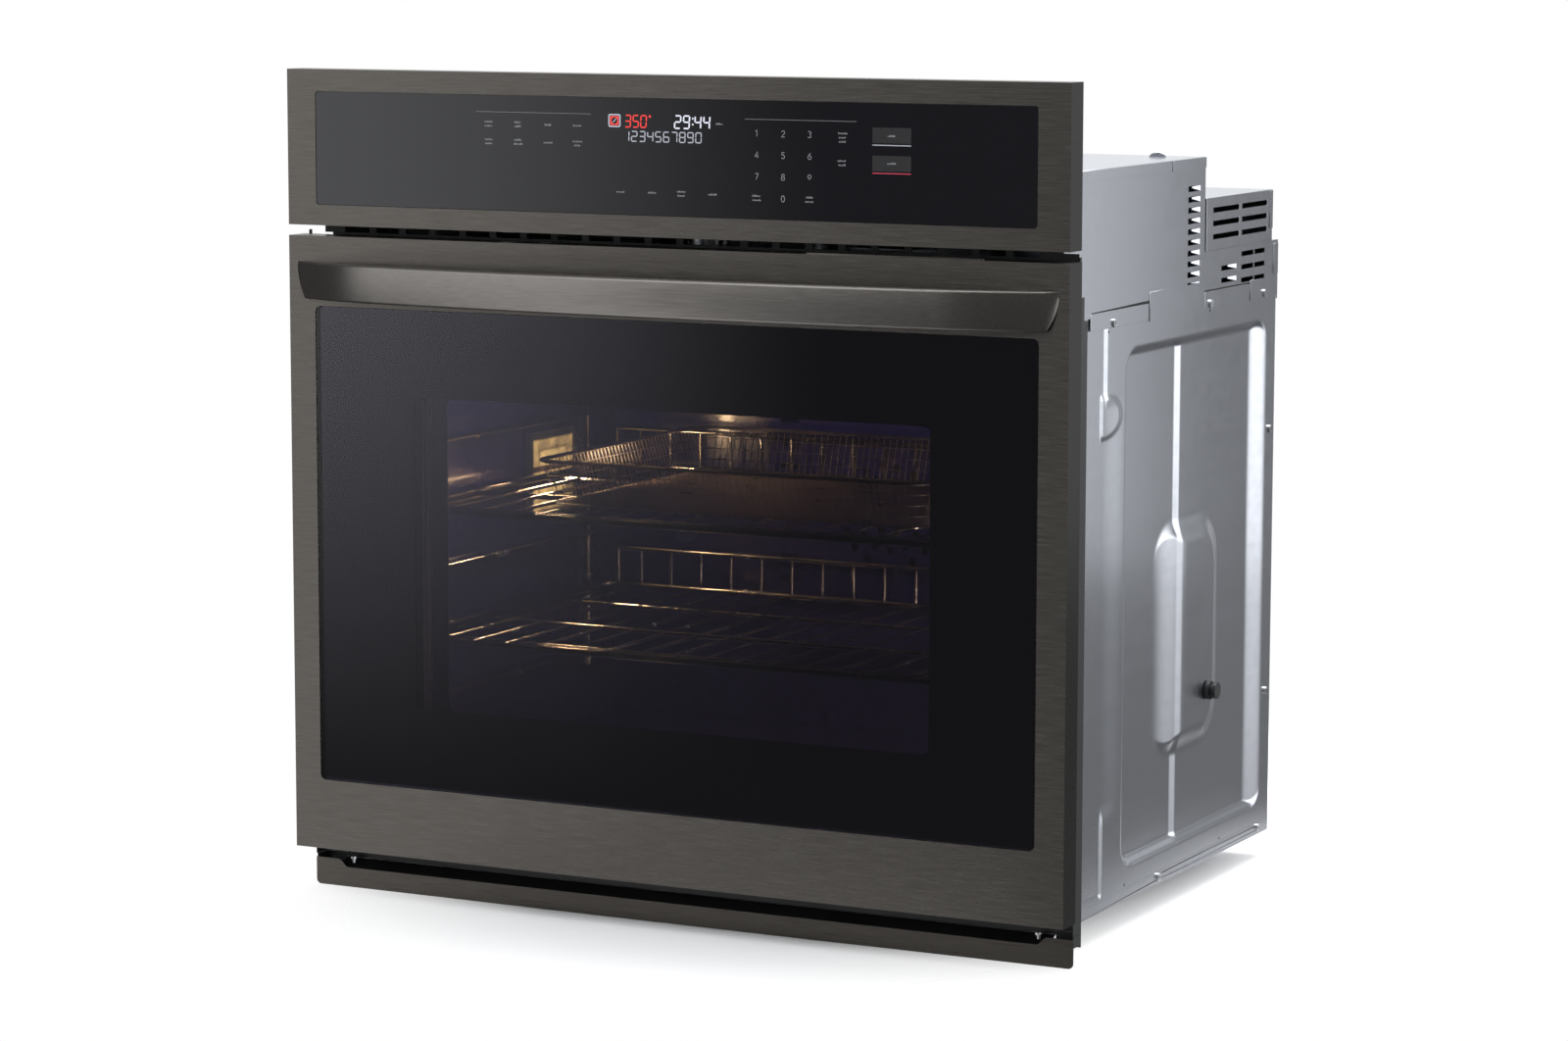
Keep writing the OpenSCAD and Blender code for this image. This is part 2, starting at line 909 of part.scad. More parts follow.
module power_board() {
    color(board_green) {
        block([-320, -140], [60, 260], [side_h + 10, side_h + 12]);
        for (x = [-312, -154], y = [68, 246])
            bar_z(x, y, [side_h, side_h + 10.5], 3);
        for (i = [0:3])
            block([-300 + i * 38, -272 + i * 38], [90, 115],
                  [side_h + 12, side_h + 30]);
        bar_z(-190, 200, [side_h + 12, side_h + 42], 12);
        bar_z(-230, 200, [side_h + 12, side_h + 42], 12);
        block([-310, -262], [180, 236], [side_h + 12, side_h + 46]);
    }
}

module terminal_block() {
    color("ivory")
        difference() {
            block([gland_x - 30, gland_x + 30], [430, 460],
                  [side_h, side_h + 24]);
            for (i = [-1:1])
                bar_z(gland_x + i * 18, 445, [side_h + 12, side_h + 25], 5);
        }
}

// Bushing for the supply conduit
module conduit_gland() {
    y = lower_cover_back;
    color("black")
        difference() {
            union() {
                bar_y(gland_x, [y - 8, y + 1], gland_z, gland_r + 2.8);
                bar_y(gland_x, [y, y + 3], gland_z, gland_r + 6);
                bar_y(gland_x, [y - 8, y - 4], gland_z, gland_r + 6);
            }
            bar_y(gland_x, [y - 8 - cut, y + 3 + cut], gland_z, gland_r);
        }
}

// Rubber bumper with two rings, on the boss at each side
module bumper() {
    translate([side_x, bumper_y, bumper_z])
        rotate([0, 90, 0]) {
            translate([0, 0, -4])
                cylinder(r = 3.9, h = 4.5);
            cylinder(r = 8.5, h = 4);
            translate([0, 0, 3.5])
                cylinder(r = 5.5, h = 3);
            translate([0, 0, 6])
                cylinder(r = 7.5, h = 4);
        }
}

module side_bumpers() {
    color("black")
        mirrored_pair()
            bumper();
}

module chassis_screws() {
    color(chrome)
        mirrored_pair()
            for (p = side_screws)
                translate([side_x, p[0], p[1]])
                    screw();
}

// ---- door hinges --------------------------------------------------------------

// Arm fixed to the body: a receiver, two cheeks and the hinge pin
module hinge_arm() {
    half = leaf_w / 2 + gap;
    receiver_z = [hinge_z - knuckle_r, 58];
    color("dimgray")
        translate([hinge_x, 0, 0]) {
            wide(2 * (half + cheek_w), [0, 90], receiver_z);
            for (s = [-1, 1])
                translate([s * (half + cheek_w / 2), 0, 0]) {
                    wide(cheek_w, [hinge_y, 5],
                         [hinge_z - knuckle_r, hinge_z + knuckle_r]);
                    bar_x([-cheek_w / 2, cheek_w / 2], hinge_y, hinge_z,
                          knuckle_r);
                }
            bar_x([-half - 1, half + 1], hinge_y, hinge_z, pin_r);
        }
}

module hinge_arm_left() {
    mirror([1, 0, 0])
        hinge_arm();
}

module hinge_arm_right() {
    hinge_arm();
}

// Leaf fixed inside the door, with the bore for the hinge pin
module door_hinge() {
    leaf_y = [y_front + 6, flange_y[0]];
    color("gray")
        translate([hinge_x, 0, 0])
            difference() {
                union() {
                    bar_x([-leaf_w / 2, leaf_w / 2], hinge_y, hinge_z, knuckle_r);
                    wide(leaf_w, leaf_y, [door_z + sheet + gap, 200]);
                    wide(leaf_w, [leaf_y[1], hinge_y],
                         [door_z + sheet + gap, hinge_z + knuckle_r]);
                }
                bar_x([-leaf_w / 2 - cut, leaf_w / 2 + cut], hinge_y, hinge_z,
                      pin_r + pin_play);
            }
}

module door_hinge_left() {
    mirror([1, 0, 0])
        door_hinge();
}

module door_hinge_right() {
    door_hinge();
}

// Room round each hinge knuckle, cut from the door's bottom edge
module hinge_notches(y, z) {
    for (s = [-1, 1])
        translate([s * hinge_x, 0, 0])
            wide(hinge_slot, y, z);
}

// ---- door ---------------------------------------------------------------------

module door_skin() {
    color(black_steel)
        difference() {
            glazed_shell(y_skin, [door_z, door_top], door_glass_w, door_glass_z,
                         glass_corner);
            hinge_notches([-28, y_skin + cut], [door_z - cut, door_z + 14]);
        }
}

module door_outer_glass() {
    color(smoked)
        set_glass(door_glass_w, door_glass_z, glass_corner);
}

module door_mid_glass() {
    color([0.5, 0.6, 0.6, 0.3])
        pane(jamb_w + 20, [jamb_front - 3.2, jamb_front],
             [jamb_z[0] - 10, jamb_z[1] + 10], 4);
}

module door_inner_glass() {
    color([0.5, 0.6, 0.6, 0.3])
        pane(jamb_w - 1, [inner_back - sheet - glass_t, inner_back - sheet],
             [jamb_z[0] + 0.5, jamb_z[1] - 0.5], 3);
}

// Porcelain pan that closes the back of the door, with a boxed window
module door_inner_panel() {
    skin_in = front_w - 2 * sheet - 0.4;
    color(porcelain)
        difference() {
            union() {
                pane(inner_w, [flange_y[0], inner_back], inner_z, 12);
                wide(skin_in, flange_y,
                     [door_z + sheet + 0.2, door_top - sheet - 0.2]);
                pane(jamb_w + 2 * sheet, [jamb_front, inner_back],
                     [jamb_z[0] - sheet, jamb_z[1] + sheet], 4 + sheet);
            }
            difference() {
                pane(inner_w - 2 * sheet, [flange_y[0] - cut, inner_back - sheet],
                     [inner_z[0] + sheet, inner_z[1] - sheet], 12 - sheet);
                pane(jamb_w + 2 * sheet, [flange_y[0] - 2 * cut, inner_back],
                     [jamb_z[0] - sheet, jamb_z[1] + sheet], 4 + sheet);
            }
            pane(jamb_w, [jamb_front - cut, inner_back - sheet], jamb_z, 4);
            pane(window_w, [inner_back - sheet - cut, inner_back + cut], window_z,
                 8);
            hinge_notches([flange_y[0] - cut, flange_y[1] + cut],
                          [door_z, hinge_z + 14]);
            wide(latch_w + 6, [flange_y[0] - cut, flange_y[1] + cut],
                 [latch_z - 5.5, latch_z + 5.5]);
        }
}

// Bowed bar: a long shallow arc with tighter arcs where it turns in to the door
bow_r = 2611;
bow_x = 270;
end_r = 299;
handle_half = 369;
end_round = 62;
handle_top = door_top - 23;

module bow_outline(inset) {
    centre_y = y_front - handle_out + bow_r;
    lean = asin(bow_x / bow_r);
    end_c = [(bow_r - end_r) * sin(lean), centre_y - (bow_r - end_r) * cos(lean)];
    intersection() {
        translate([0, centre_y])
            circle(bow_r - inset, $fn = 720);
        union() {
            translate([-bow_x, y_front - handle_out - cut])
                square([2 * bow_x, handle_out + cut]);
            for (s = [-1, 1])
                translate([s * end_c[0], end_c[1]])
                    circle(end_r - inset, $fn = 360);
        }
        translate([-handle_half - 1, y_front - handle_out - cut])
            square([2 * handle_half + 2, handle_out + cut]);
    }
}

module door_handle() {
    z = [handle_top - handle_h, handle_top];
    color(black_steel)
        intersection() {
            translate([0, 0, z[0]])
                linear_extrude(handle_h)
                    difference() {
                        bow_outline(0);
                        translate([0, cut])
                            bow_outline(handle_t + cut);
                    }
            translate([0, y_front + cut, 0])
                rotate([90, 0, 0])
                    linear_extrude(handle_out + 3 * cut)
                        union() {
                            translate([-handle_half + end_round, z[0]])
                                square([2 * (handle_half - end_round), handle_h]);
                            for (s = [-1, 1])
                                translate([s * (handle_half - end_round), z[1]])
                                    circle(end_round, $fn = 120);
                        }
        }
}

module handle_brackets() {
    color("gray")
        for (s = [-1, 1])
            translate([s * 340, 0, 0]) {
                wide(44, [y_front + sheet, y_front + sheet + 2.5],
                     [handle_top - handle_h + 3, handle_top - 3]);
                for (x = [-12, 12])
                    bar_y(x, [y_front + sheet + 2, y_front + sheet + 7],
                          handle_top - handle_h / 2, 4);
            }
}

// ---- racks --------------------------------------------------------------------

// Wire rack: a round-cornered rim, wires from front to back, two cross bars and
// a raised guard along the back edge
module rack(z) {
    half = rack_w / 2;
    corner = rack_corner;
    wires = 8;
    guard_half = wires * rack_wire_step + 26;
    for (s = [-1, 1])
        bar_y(s * half, [rack_y[0] + corner, rack_y[1] - corner], z, rack_r);
    for (y = rack_y)
        bar_x([-half + corner, half - corner], y, z, rack_r);
    bend(half - corner, rack_y[1] - corner, z, corner, rack_r, 0, 90);
    bend(-half + corner, rack_y[1] - corner, z, corner, rack_r, 90, 90);
    bend(-half + corner, rack_y[0] + corner, z, corner, rack_r, 180, 90);
    bend(half - corner, rack_y[0] + corner, z, corner, rack_r, 270, 90);
    for (i = [-wires:wires]) {
        bar_y(i * rack_wire_step, rack_y, z, rack_wire_r);
        bar_z(i * rack_wire_step, rack_y[1], [z, z + rack_guard_h], rack_wire_r);
    }
    for (y = [rack_y[0] + 22, 150, 280])
        bar_x([-half, half], y, z - 1, 2.4);
    bar_x([-guard_half, guard_half], rack_y[1], z + rack_guard_h, 2.4);
    for (s = [-1, 1])
        bar_z(s * guard_half, rack_y[1], [z, z + rack_guard_h], 2.4);
}

module upper_rack() {
    color(chrome)
        rack(upper_rack_z);
}

module lower_rack() {
    color(chrome)
        rack(lower_rack_z);
}

// ---- assembly -------------------------------------------------------------------

control_panel_frame();
control_glass();
display_module();
control_board();
panel_chassis();
vent_trim();
front_frame();
side_trim_left();
side_trim_right();
bottom_trim();
trim_screws();
door_gasket();
cavity_liner();
rack_guide_left();
rack_guide_right();
bake_element();
broil_element();
fan_cover();
convection_element();
convection_motor();
convection_fan();
lamp_lens();
lamp_housing();
lamp_bulb();
temperature_sensor();
insulation();
side_panel_left();
side_panel_right();
base_pan();
rear_panel();
deck_plate();
housing_cover();
rear_box_cover();
rear_lower_cover();
blower_housing();
blower_wheel();
blower_motor();
exhaust_duct();
latch_housing();
latch_bolt();
door_switch();
switch_plunger();
power_board();
terminal_block();
conduit_gland();
side_bumpers();
chassis_screws();
hinge_arm_left();
hinge_arm_right();
door_skin();
door_outer_glass();
door_mid_glass();
door_inner_glass();
door_inner_panel();
door_handle();
handle_brackets();
door_hinge_left();
door_hinge_right();
upper_rack();
lower_rack();
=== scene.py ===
"""The looks of a built-in single wall oven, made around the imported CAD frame.

Metres. X runs right as seen from the front, Y runs back into the cabinet and Z runs up.
"""

import json
import math
import random

import bmesh
import bpy
from mathutils import Matrix, Vector
from mathutils.geometry import tessellate_polygon


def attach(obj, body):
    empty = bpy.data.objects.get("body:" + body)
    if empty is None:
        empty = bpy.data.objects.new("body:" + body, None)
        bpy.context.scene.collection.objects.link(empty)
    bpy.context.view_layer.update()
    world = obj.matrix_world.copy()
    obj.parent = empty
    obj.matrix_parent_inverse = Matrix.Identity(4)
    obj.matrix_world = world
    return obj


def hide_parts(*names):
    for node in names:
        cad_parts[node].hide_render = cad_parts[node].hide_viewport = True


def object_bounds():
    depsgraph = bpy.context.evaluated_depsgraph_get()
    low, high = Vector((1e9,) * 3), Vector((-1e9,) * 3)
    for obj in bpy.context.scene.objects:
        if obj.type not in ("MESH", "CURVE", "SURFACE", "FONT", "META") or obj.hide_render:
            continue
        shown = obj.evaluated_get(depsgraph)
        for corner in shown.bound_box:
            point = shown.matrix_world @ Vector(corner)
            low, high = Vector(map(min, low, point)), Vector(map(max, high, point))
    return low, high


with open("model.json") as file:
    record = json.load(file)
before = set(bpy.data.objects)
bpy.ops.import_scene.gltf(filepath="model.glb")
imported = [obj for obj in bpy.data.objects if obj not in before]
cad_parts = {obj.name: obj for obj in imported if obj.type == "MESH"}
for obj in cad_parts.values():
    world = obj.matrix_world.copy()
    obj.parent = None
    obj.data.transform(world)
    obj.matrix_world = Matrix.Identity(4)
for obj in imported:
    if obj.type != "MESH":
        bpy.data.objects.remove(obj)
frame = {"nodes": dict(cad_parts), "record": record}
CAD_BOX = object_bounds()
NODES = frame["nodes"]
MM = 0.001

# ---- camera ---------------------------------------------------------------------

CAMERA_AT = Vector((1.793863, -3.373335, 0.835963))
CAMERA_YAW = math.radians(26.745)
CAMERA_PITCH = math.radians(7.518)
CAMERA_ROLL = math.radians(0.106)
CAMERA_LENS = 101.66


def make_camera():
    data = bpy.data.cameras.new("camera")
    data.lens = CAMERA_LENS
    data.sensor_width = 36.0
    camera = bpy.data.objects.new("camera", data)
    bpy.context.scene.collection.objects.link(camera)
    yaw, pitch, roll = CAMERA_YAW, CAMERA_PITCH, CAMERA_ROLL
    forward = Vector((-math.sin(yaw) * math.cos(pitch),
                      math.cos(yaw) * math.cos(pitch), -math.sin(pitch)))
    right = Vector((math.cos(yaw), math.sin(yaw), 0.0))
    up = right.cross(forward)
    turned_right = right * math.cos(roll) + up * math.sin(roll)
    turned_up = up * math.cos(roll) - right * math.sin(roll)
    rotation = Matrix((turned_right, turned_up, -forward)).transposed().to_4x4()
    camera.matrix_world = Matrix.Translation(CAMERA_AT) @ rotation
    bpy.context.scene.camera = camera


# ---- materials --------------------------------------------------------------------

class Graph:
    """A shader node tree with short ways to add and join nodes."""

    def __init__(self, owner, output):
        owner.use_nodes = True
        self.nodes = owner.node_tree.nodes
        self.links = owner.node_tree.links
        self.nodes.clear()
        self.output = self.add(output)

    def fill(self, socket, value):
        """Joins an input to another node's output, or sets its value."""
        if isinstance(value, bpy.types.NodeSocket):
            self.links.new(value, socket)
        else:
            socket.default_value = value

    def fill_named(self, node, sockets):
        for key, value in sockets.items():
            self.fill(node.inputs[key.replace("_", " ")], value)

    def add(self, kind, *values, **sockets):
        """A new node: values fill its first inputs, and the named sockets their own."""
        node = self.nodes.new("ShaderNode" + kind)
        for socket, value in zip(node.inputs, values):
            self.fill(socket, value)
        self.fill_named(node, sockets)
        return node

    def math(self, kind, a, b=0.0):
        node = self.add("Math", a, b)
        node.operation = kind
        return node.outputs[0]

    def vector(self, kind, *values, out="Vector", **sockets):
        node = self.add("VectorMath", *values)
        node.operation = kind
        self.fill_named(node, sockets)
        return node.outputs[out]

    def blend(self, *parts):
        """The sum of values, each times its share."""
        shares = [self.math("MULTIPLY", value, share) for value, share in parts]
        total = shares[0]
        for share in shares[1:]:
            total = self.math("ADD", total, share)
        return total

    def spread(self, value, low, high, at=(0.0, 1.0), kind="LINEAR"):
        """Low to high while the value goes through the range at."""
        node = self.add("MapRange", value, *at, low, high)
        node.interpolation_type = kind
        return node.outputs[0]

    def mix(self, share, first, second):
        """Shows the second shader over the first, as far as its share goes."""
        both = self.add("MixShader", share, first.outputs[0], second.outputs[0])
        self.fill(self.output.inputs["Surface"], both.outputs[0])


# The part of a noise value's range where nearly all of it lies
MIDDLE = (0.3, 0.7)


class Shader(Graph):
    """A node material built up around one Principled shader."""

    def __init__(self, name, **sockets):
        self.material = bpy.data.materials.new(name)
        super().__init__(self.material, "OutputMaterial")
        self.bsdf = self.add("BsdfPrincipled", **sockets)
        self.fill(self.output.inputs["Surface"], self.bsdf.outputs[0])
        self.place = self.add("TexCoord").outputs["Object"]

    def give(self, **sockets):
        self.fill_named(self.bsdf, sockets)

    def scaled(self, scale, shift=(0, 0, 0)):
        return self.add("Mapping", Vector=self.place, Scale=scale, Location=shift).outputs[0]

    def noise(self, scale, detail=2.0, stretch=(1, 1, 1), distortion=0.0):
        node = self.add("TexNoise", Vector=self.scaled(stretch), Scale=scale,
                        Detail=detail, Distortion=distortion)
        return node.outputs["Fac"]

    def cells(self, scale, stretch=(1, 1, 1)):
        node = self.add("TexVoronoi", Vector=self.scaled(stretch), Scale=scale)
        return node.outputs["Distance"]

    def ramp(self, value, stops):
        node = self.add("ValToRGB", value)
        elements = node.color_ramp.elements
        while len(elements) < len(stops):
            elements.new(0.5)
        for element, (position, colour) in zip(elements, stops):
            element.position = position
            element.color = (*colour, 1.0)
        return node.outputs["Color"]

    def two_tone(self, value, dark, light):
        return self.ramp(value, [(MIDDLE[0], dark), (MIDDLE[1], light)])

    def bump(self, height, strength, distance):
        node = self.add("Bump", Strength=strength, Distance=distance, Height=height)
        self.give(Normal=node.outputs[0])


def shaded(colour, share):
    return [min(1.0, c * share) for c in colour]


# Brushed metal: noise stretch, tilt of the level direction (so that it is never zero on
# a flat top), how far |Normal.x| is an end face, and the shine that such a face keeps
GRAIN = (1, 34, 34)
LEVEL_TILT = (0, 0.03, 1)
END_FACE = (0.88, 0.97)
END_SHINE = 0.12


def grained_metal(name, dark, light, rough, ends=1.0):
    """Brushed sheet with streaks along X; faces that point along X keep ends of the tone."""
    s = Shader(name, Metallic=1.0, Anisotropic=0.8, Anisotropic_Rotation=0.25)
    facing = s.add("NewGeometry").outputs["Normal"]
    s.give(Tangent=s.vector("CROSS_PRODUCT", facing, LEVEL_TILT))
    fine = s.noise(30.0, 3.0, GRAIN)
    mixed = s.blend((fine, 0.8), (s.noise(5.0, 2.0), 0.2))
    tint = s.two_tone(mixed, dark, light)
    if ends < 1.0:
        across = s.math("ABSOLUTE", s.add("SeparateXYZ", facing).outputs["X"])
        side = s.spread(across, 1.0, ends, END_FACE)
        tint = s.vector("SCALE", tint, Scale=side)
        s.give(Metallic=s.spread(across, 1.0, 0.0, END_FACE),
               Specular_IOR_Level=s.spread(across, 0.5, END_SHINE, END_FACE))
    s.give(Base_Color=tint, Roughness=s.spread(mixed, rough - 0.02, rough + 0.03, MIDDLE))
    s.bump(fine, 0.12, 0.00004)
    return s.material


def zinc_sheet(name, dark, light, rough):
    """Galvanised sheet: spangle cells, faint rolling lines and a few dull patches."""
    s = Shader(name, Metallic=1.0)
    rolled = s.noise(7.0, 3.0, (1, 1, 22))
    mixed = s.blend((s.cells(85.0), 0.22), (rolled, 0.33), (s.noise(3.5, 3.0), 0.45))
    s.give(Base_Color=s.ramp(mixed, [(0.2, dark), (0.62, light)]),
           Roughness=s.spread(mixed, rough + 0.03, rough - 0.02, (0.25, 0.65)))
    s.bump(rolled, 0.08, 0.0001)
    return s.material


def enamel(name, base, fleck, rough):
    """Fired enamel: a glossy coat with pale flecks and a slight orange peel."""
    s = Shader(name, Metallic=0.0, Coat_Weight=0.6, Coat_Roughness=0.08)
    cloud = s.noise(9.0, 3.0)
    near = s.math("LESS_THAN", s.cells(260.0), 0.16)
    chosen = s.math("GREATER_THAN", s.noise(120.0, 1.0), 0.56)
    tone = s.blend((cloud, 0.3), (s.math("MULTIPLY", near, chosen), 0.7))
    s.give(Base_Color=s.ramp(tone, [(0.0, shaded(base, 0.7)), (0.3, base), (0.72, fleck)]),
           Roughness=s.spread(cloud, rough - 0.05, rough + 0.08))
    s.bump(s.noise(160.0, 1.0), 0.05, 0.0002)
    return s.material


def coated(name, base, rough, scale=600.0, relief=0.00005, metallic=0.0, vary=0.25):
    """Paint, plastic or rubber: a fine moulded or sprayed texture and uneven tone."""
    s = Shader(name, Metallic=metallic)
    grain = s.noise(scale, 2.0)
    both = s.blend((grain, 0.4), (s.noise(14.0, 3.0), 0.6))
    s.give(Base_Color=s.two_tone(both, shaded(base, 1 - vary), shaded(base, 1 + vary)),
           Roughness=s.spread(both, rough - 0.06, rough + 0.08, MIDDLE))
    s.bump(grain, 0.3, relief)
    return s.material


def plated(name, base, rough):
    """Bright plating: nearly a mirror, with smears and dull spots."""
    s = Shader(name, Metallic=1.0)
    smear = s.noise(25.0, 4.0)
    s.give(Base_Color=s.two_tone(smear, shaded(base, 0.78), base),
           Roughness=s.spread(smear, rough - 0.04, rough + 0.12, MIDDLE))
    s.bump(s.noise(300.0, 2.0), 0.12, 0.00004)
    return s.material


def fibrous(name, dark, light, scale, stretch=(1, 1, 1)):
    """Wool or braid: tangled light and dark strands with a dull surface."""
    s = Shader(name, Roughness=0.95, Sheen_Weight=0.3)
    strands = s.noise(scale, 4.0, stretch, 1.5)
    s.give(Base_Color=s.two_tone(strands, dark, light))
    s.bump(strands, 0.8, 0.0008)
    return s.material


def pane_glass(name, tint, rough, shine):
    """Flat glass that lets lamps through: a tinted clear share under a polished face."""
    s = Shader(name)
    s.nodes.remove(s.bsdf)
    clear = s.add("BsdfTransparent", Color=(*tint, 1.0))
    smudge = s.spread(s.noise(11.0, 4.0), rough * 0.6, rough * 1.8, MIDDLE)
    gloss = s.add("BsdfGlossy", Roughness=smudge)
    fresnel = s.add("Fresnel", IOR=1.5)
    s.mix(s.math("MULTIPLY", fresnel.outputs[0], shine), clear, gloss)
    return s.material


def black_glass(name, base, rough):
    """Opaque black glass with a polished face and barely visible wiping marks."""
    s = Shader(name, Metallic=0.0, IOR=1.5)
    smudge = s.noise(9.0, 4.0)
    s.give(Base_Color=s.two_tone(smudge, shaded(base, 0.85), base),
           Roughness=s.spread(smudge, rough * 0.6, rough * 1.8, MIDDLE))
    return s.material


def glowing(name, colour, strength):
    """A lit segment or mark: it shines a little unevenly."""
    s = Shader(name, Roughness=0.4, Base_Color=(*shaded(colour, 0.4), 1.0),
               Emission_Strength=strength)
    uneven = s.noise(400.0, 2.0)
    s.give(Emission_Color=s.ramp(uneven, [(0.35, shaded(colour, 0.85)), (0.65, colour)]))
    return s.material


# The lamp lens: centre, half size and cross rib (height, half width), its strength, and
# its colours from the middle (0) out to the edge (1)
LENS_MID = (0.310, 0.323)
LENS_HALF = (0.043, 0.039)
LENS_RIB = (0.006, 0.0028)
LENS_GLOW = 1.7
LENS_GLASS = [(0.5, (0.5, 0.36, 0.12)), (0.95, (0.03, 0.025, 0.02))]
LENS_LIGHT = [(0.55, (1.0, 0.66, 0.17)), (0.62, (0.34, 0.21, 0.05)),
              (0.70, (0.8, 0.53, 0.14)), (0.84, (0.75, 0.48, 0.12)),
              (0.90, (0.02, 0.016, 0.01))]


def lamp_lens(name):
    """Lit oven lamp lens: ribbed amber glass with a dark border and a dark cross rib."""
    s = Shader(name, Roughness=0.3)
    split = s.add("SeparateXYZ", s.place)
    along = s.math("ABSOLUTE", s.math("SUBTRACT", split.outputs["Y"], LENS_MID[0]))
    height = s.math("SUBTRACT", split.outputs["Z"], LENS_MID[1])
    edge = s.math("MAXIMUM", s.math("DIVIDE", along, LENS_HALF[0]),
                  s.math("DIVIDE", s.math("ABSOLUTE", height), LENS_HALF[1]))
    rib = s.math("ABSOLUTE", s.math("SUBTRACT", height, LENS_RIB[0]))
    clear = s.math("GREATER_THAN", rib, LENS_RIB[1])
    uneven = s.spread(s.noise(70.0, 3.0), 0.35, 1.5, MIDDLE)
    glow = s.math("MULTIPLY", clear, s.math("MULTIPLY", uneven, LENS_GLOW))
    s.give(Base_Color=s.ramp(edge, LENS_GLASS), Emission_Color=s.ramp(edge, LENS_LIGHT),
           Emission_Strength=glow)
    return s.material


def board_face(name):
    """Solder mask with copper tracks showing as paler green lines."""
    s = Shader(name, Roughness=0.35)
    tracks = s.cells(160.0, (1, 1, 3))
    s.give(Base_Color=s.ramp(tracks, [(0.3, (0.012, 0.09, 0.035)), (0.5, (0.03, 0.2, 0.08))]))
    s.bump(tracks, 0.3, 0.0001)
    return s.material


# Maker, name and what the maker takes: colours first, then mostly the roughness
FINISHES = (
    (grained_metal, "black_stainless", (0.080, 0.073, 0.066), (0.106, 0.098, 0.089), 0.26,
     END_SHINE),
    (grained_metal, "trim_stainless", (0.056, 0.051, 0.045), (0.074, 0.067, 0.060), 0.28,
     END_SHINE),
    (pane_glass, "smoked_glass", (0.64, 0.62, 0.72), 0.015, 0.75),
    (pane_glass, "clear_glass", (0.93, 0.94, 0.95), 0.02, 0.25),
    (black_glass, "glass_print", (0.0035, 0.0035, 0.0045), 0.06),
    (black_glass, "panel_glass", (0.006, 0.0055, 0.0085), 0.03),
    (coated, "black_paint", (0.006, 0.006, 0.0065), 0.5),
    (zinc_sheet, "galvanised", (0.445, 0.458, 0.497), (0.505, 0.518, 0.558), 0.24),
    (grained_metal, "handle_stainless", (0.140, 0.130, 0.121), (0.180, 0.169, 0.158), 0.30),
    (enamel, "porcelain", (0.045, 0.036, 0.085), (0.17, 0.15, 0.25), 0.24),
    (plated, "rack_chrome", (0.62, 0.58, 0.56), 0.16),
    (coated, "element_sheath", (0.09, 0.085, 0.085), 0.45, 500.0, 0.00008, 0.8),
    (coated, "motor_metal", (0.22, 0.225, 0.24), 0.4, 300.0, 0.0001, 0.9),
    (grained_metal, "fan_aluminium", (0.48, 0.48, 0.48), (0.6, 0.6, 0.6), 0.32),
    (lamp_lens, "lamp_glass"),
    (plated, "screw_metal", (0.72, 0.72, 0.74), 0.2),
    (grained_metal, "hinge_steel", (0.25, 0.25, 0.26), (0.34, 0.34, 0.35), 0.35),
    (fibrous, "gasket", (0.02, 0.02, 0.02), (0.12, 0.12, 0.12), 500.0),
    (fibrous, "mineral_wool", (0.42, 0.33, 0.15), (0.72, 0.62, 0.36), 90.0, (1, 1, 4)),
    (coated, "rubber", (0.008, 0.008, 0.009), 0.5, 800.0),
    (coated, "dark_plastic", (0.02, 0.02, 0.021), 0.45),
    (coated, "white_plastic", (0.72, 0.71, 0.66), 0.4, 500.0, 0.00005, 0.0, 0.08),
    (board_face, "circuit_board"),
    # painted shade: a near-black finish for thin sheets laid where holes, slots and gaps fall
    # into shade
    (coated, "slot_dark", (0.004, 0.004, 0.005), 0.8),
    (glowing, "legend_ink", (0.55, 0.55, 0.58), 0.14),
    (glowing, "digit_white", (0.86, 0.88, 1.0), 0.75),
    (glowing, "digit_dim", (0.72, 0.74, 0.85), 0.38),
    # painted light: a brighter, pinker copy of the racks' chrome, standing in for the warm and
    # violet cavity light on the fine wires
    (plated, "tray_wire", (0.80, 0.70, 0.66), 0.3),
    # painted light: the brass tone stands in for the warm lamp glint seen along the inner
    # glass edges
    (plated, "spacer_metal", (0.62, 0.44, 0.24), 0.3),
    (coated, "key_face", (0.014, 0.014, 0.015), 0.3),
    (glowing, "key_red", (0.75, 0.06, 0.12), 0.6),
    (glowing, "digit_red", (1.0, 0.06, 0.05), 0.7),
)


def make_materials():
    """Every finish under its name; the black_glass slot is the smoked pane."""
    made = {name: maker(name, *values) for maker, name, *values in FINISHES}
    made["black_glass"] = made["smoked_glass"]
    return made


MATERIALS = {}

# ---- mesh helpers ---------------------------------------------------------------


def finish_piece(name, solid, material, body, stands_for=(), bevel=0.0,
                 segments=2, smooth=35.0):
    """Makes a solid into a piece of the object, on its body and with its finish."""
    mesh = solid.mesh(name)
    mesh.validate()
    obj = bpy.data.objects.new(name, mesh)
    bpy.context.scene.collection.objects.link(obj)
    mesh.materials.append(MATERIALS[material])
    if bevel:
        add_bevel(obj, bevel, segments)
    shade(obj, smooth)
    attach(obj, body)
    if stands_for:
        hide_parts(*stands_for)
    return obj


BEVEL_ANGLE = math.radians(28.0)
WELD_WITHIN = 0.000005
MERGE_WITHIN = 0.000002


def add_bevel(obj, width, segments=2):
    bevel = obj.modifiers.new("soft_edges", "BEVEL")
    bevel.width = width
    bevel.segments = segments
    bevel.limit_method = "ANGLE"
    bevel.angle_limit = BEVEL_ANGLE
    bevel.use_clamp_overlap = True
    bevel.harden_normals = False


def shade(obj, angle):
    mesh = obj.data
    mesh.polygons.foreach_set("use_smooth", [True] * len(mesh.polygons))
    mesh.set_sharp_from_angle(angle=math.radians(angle))


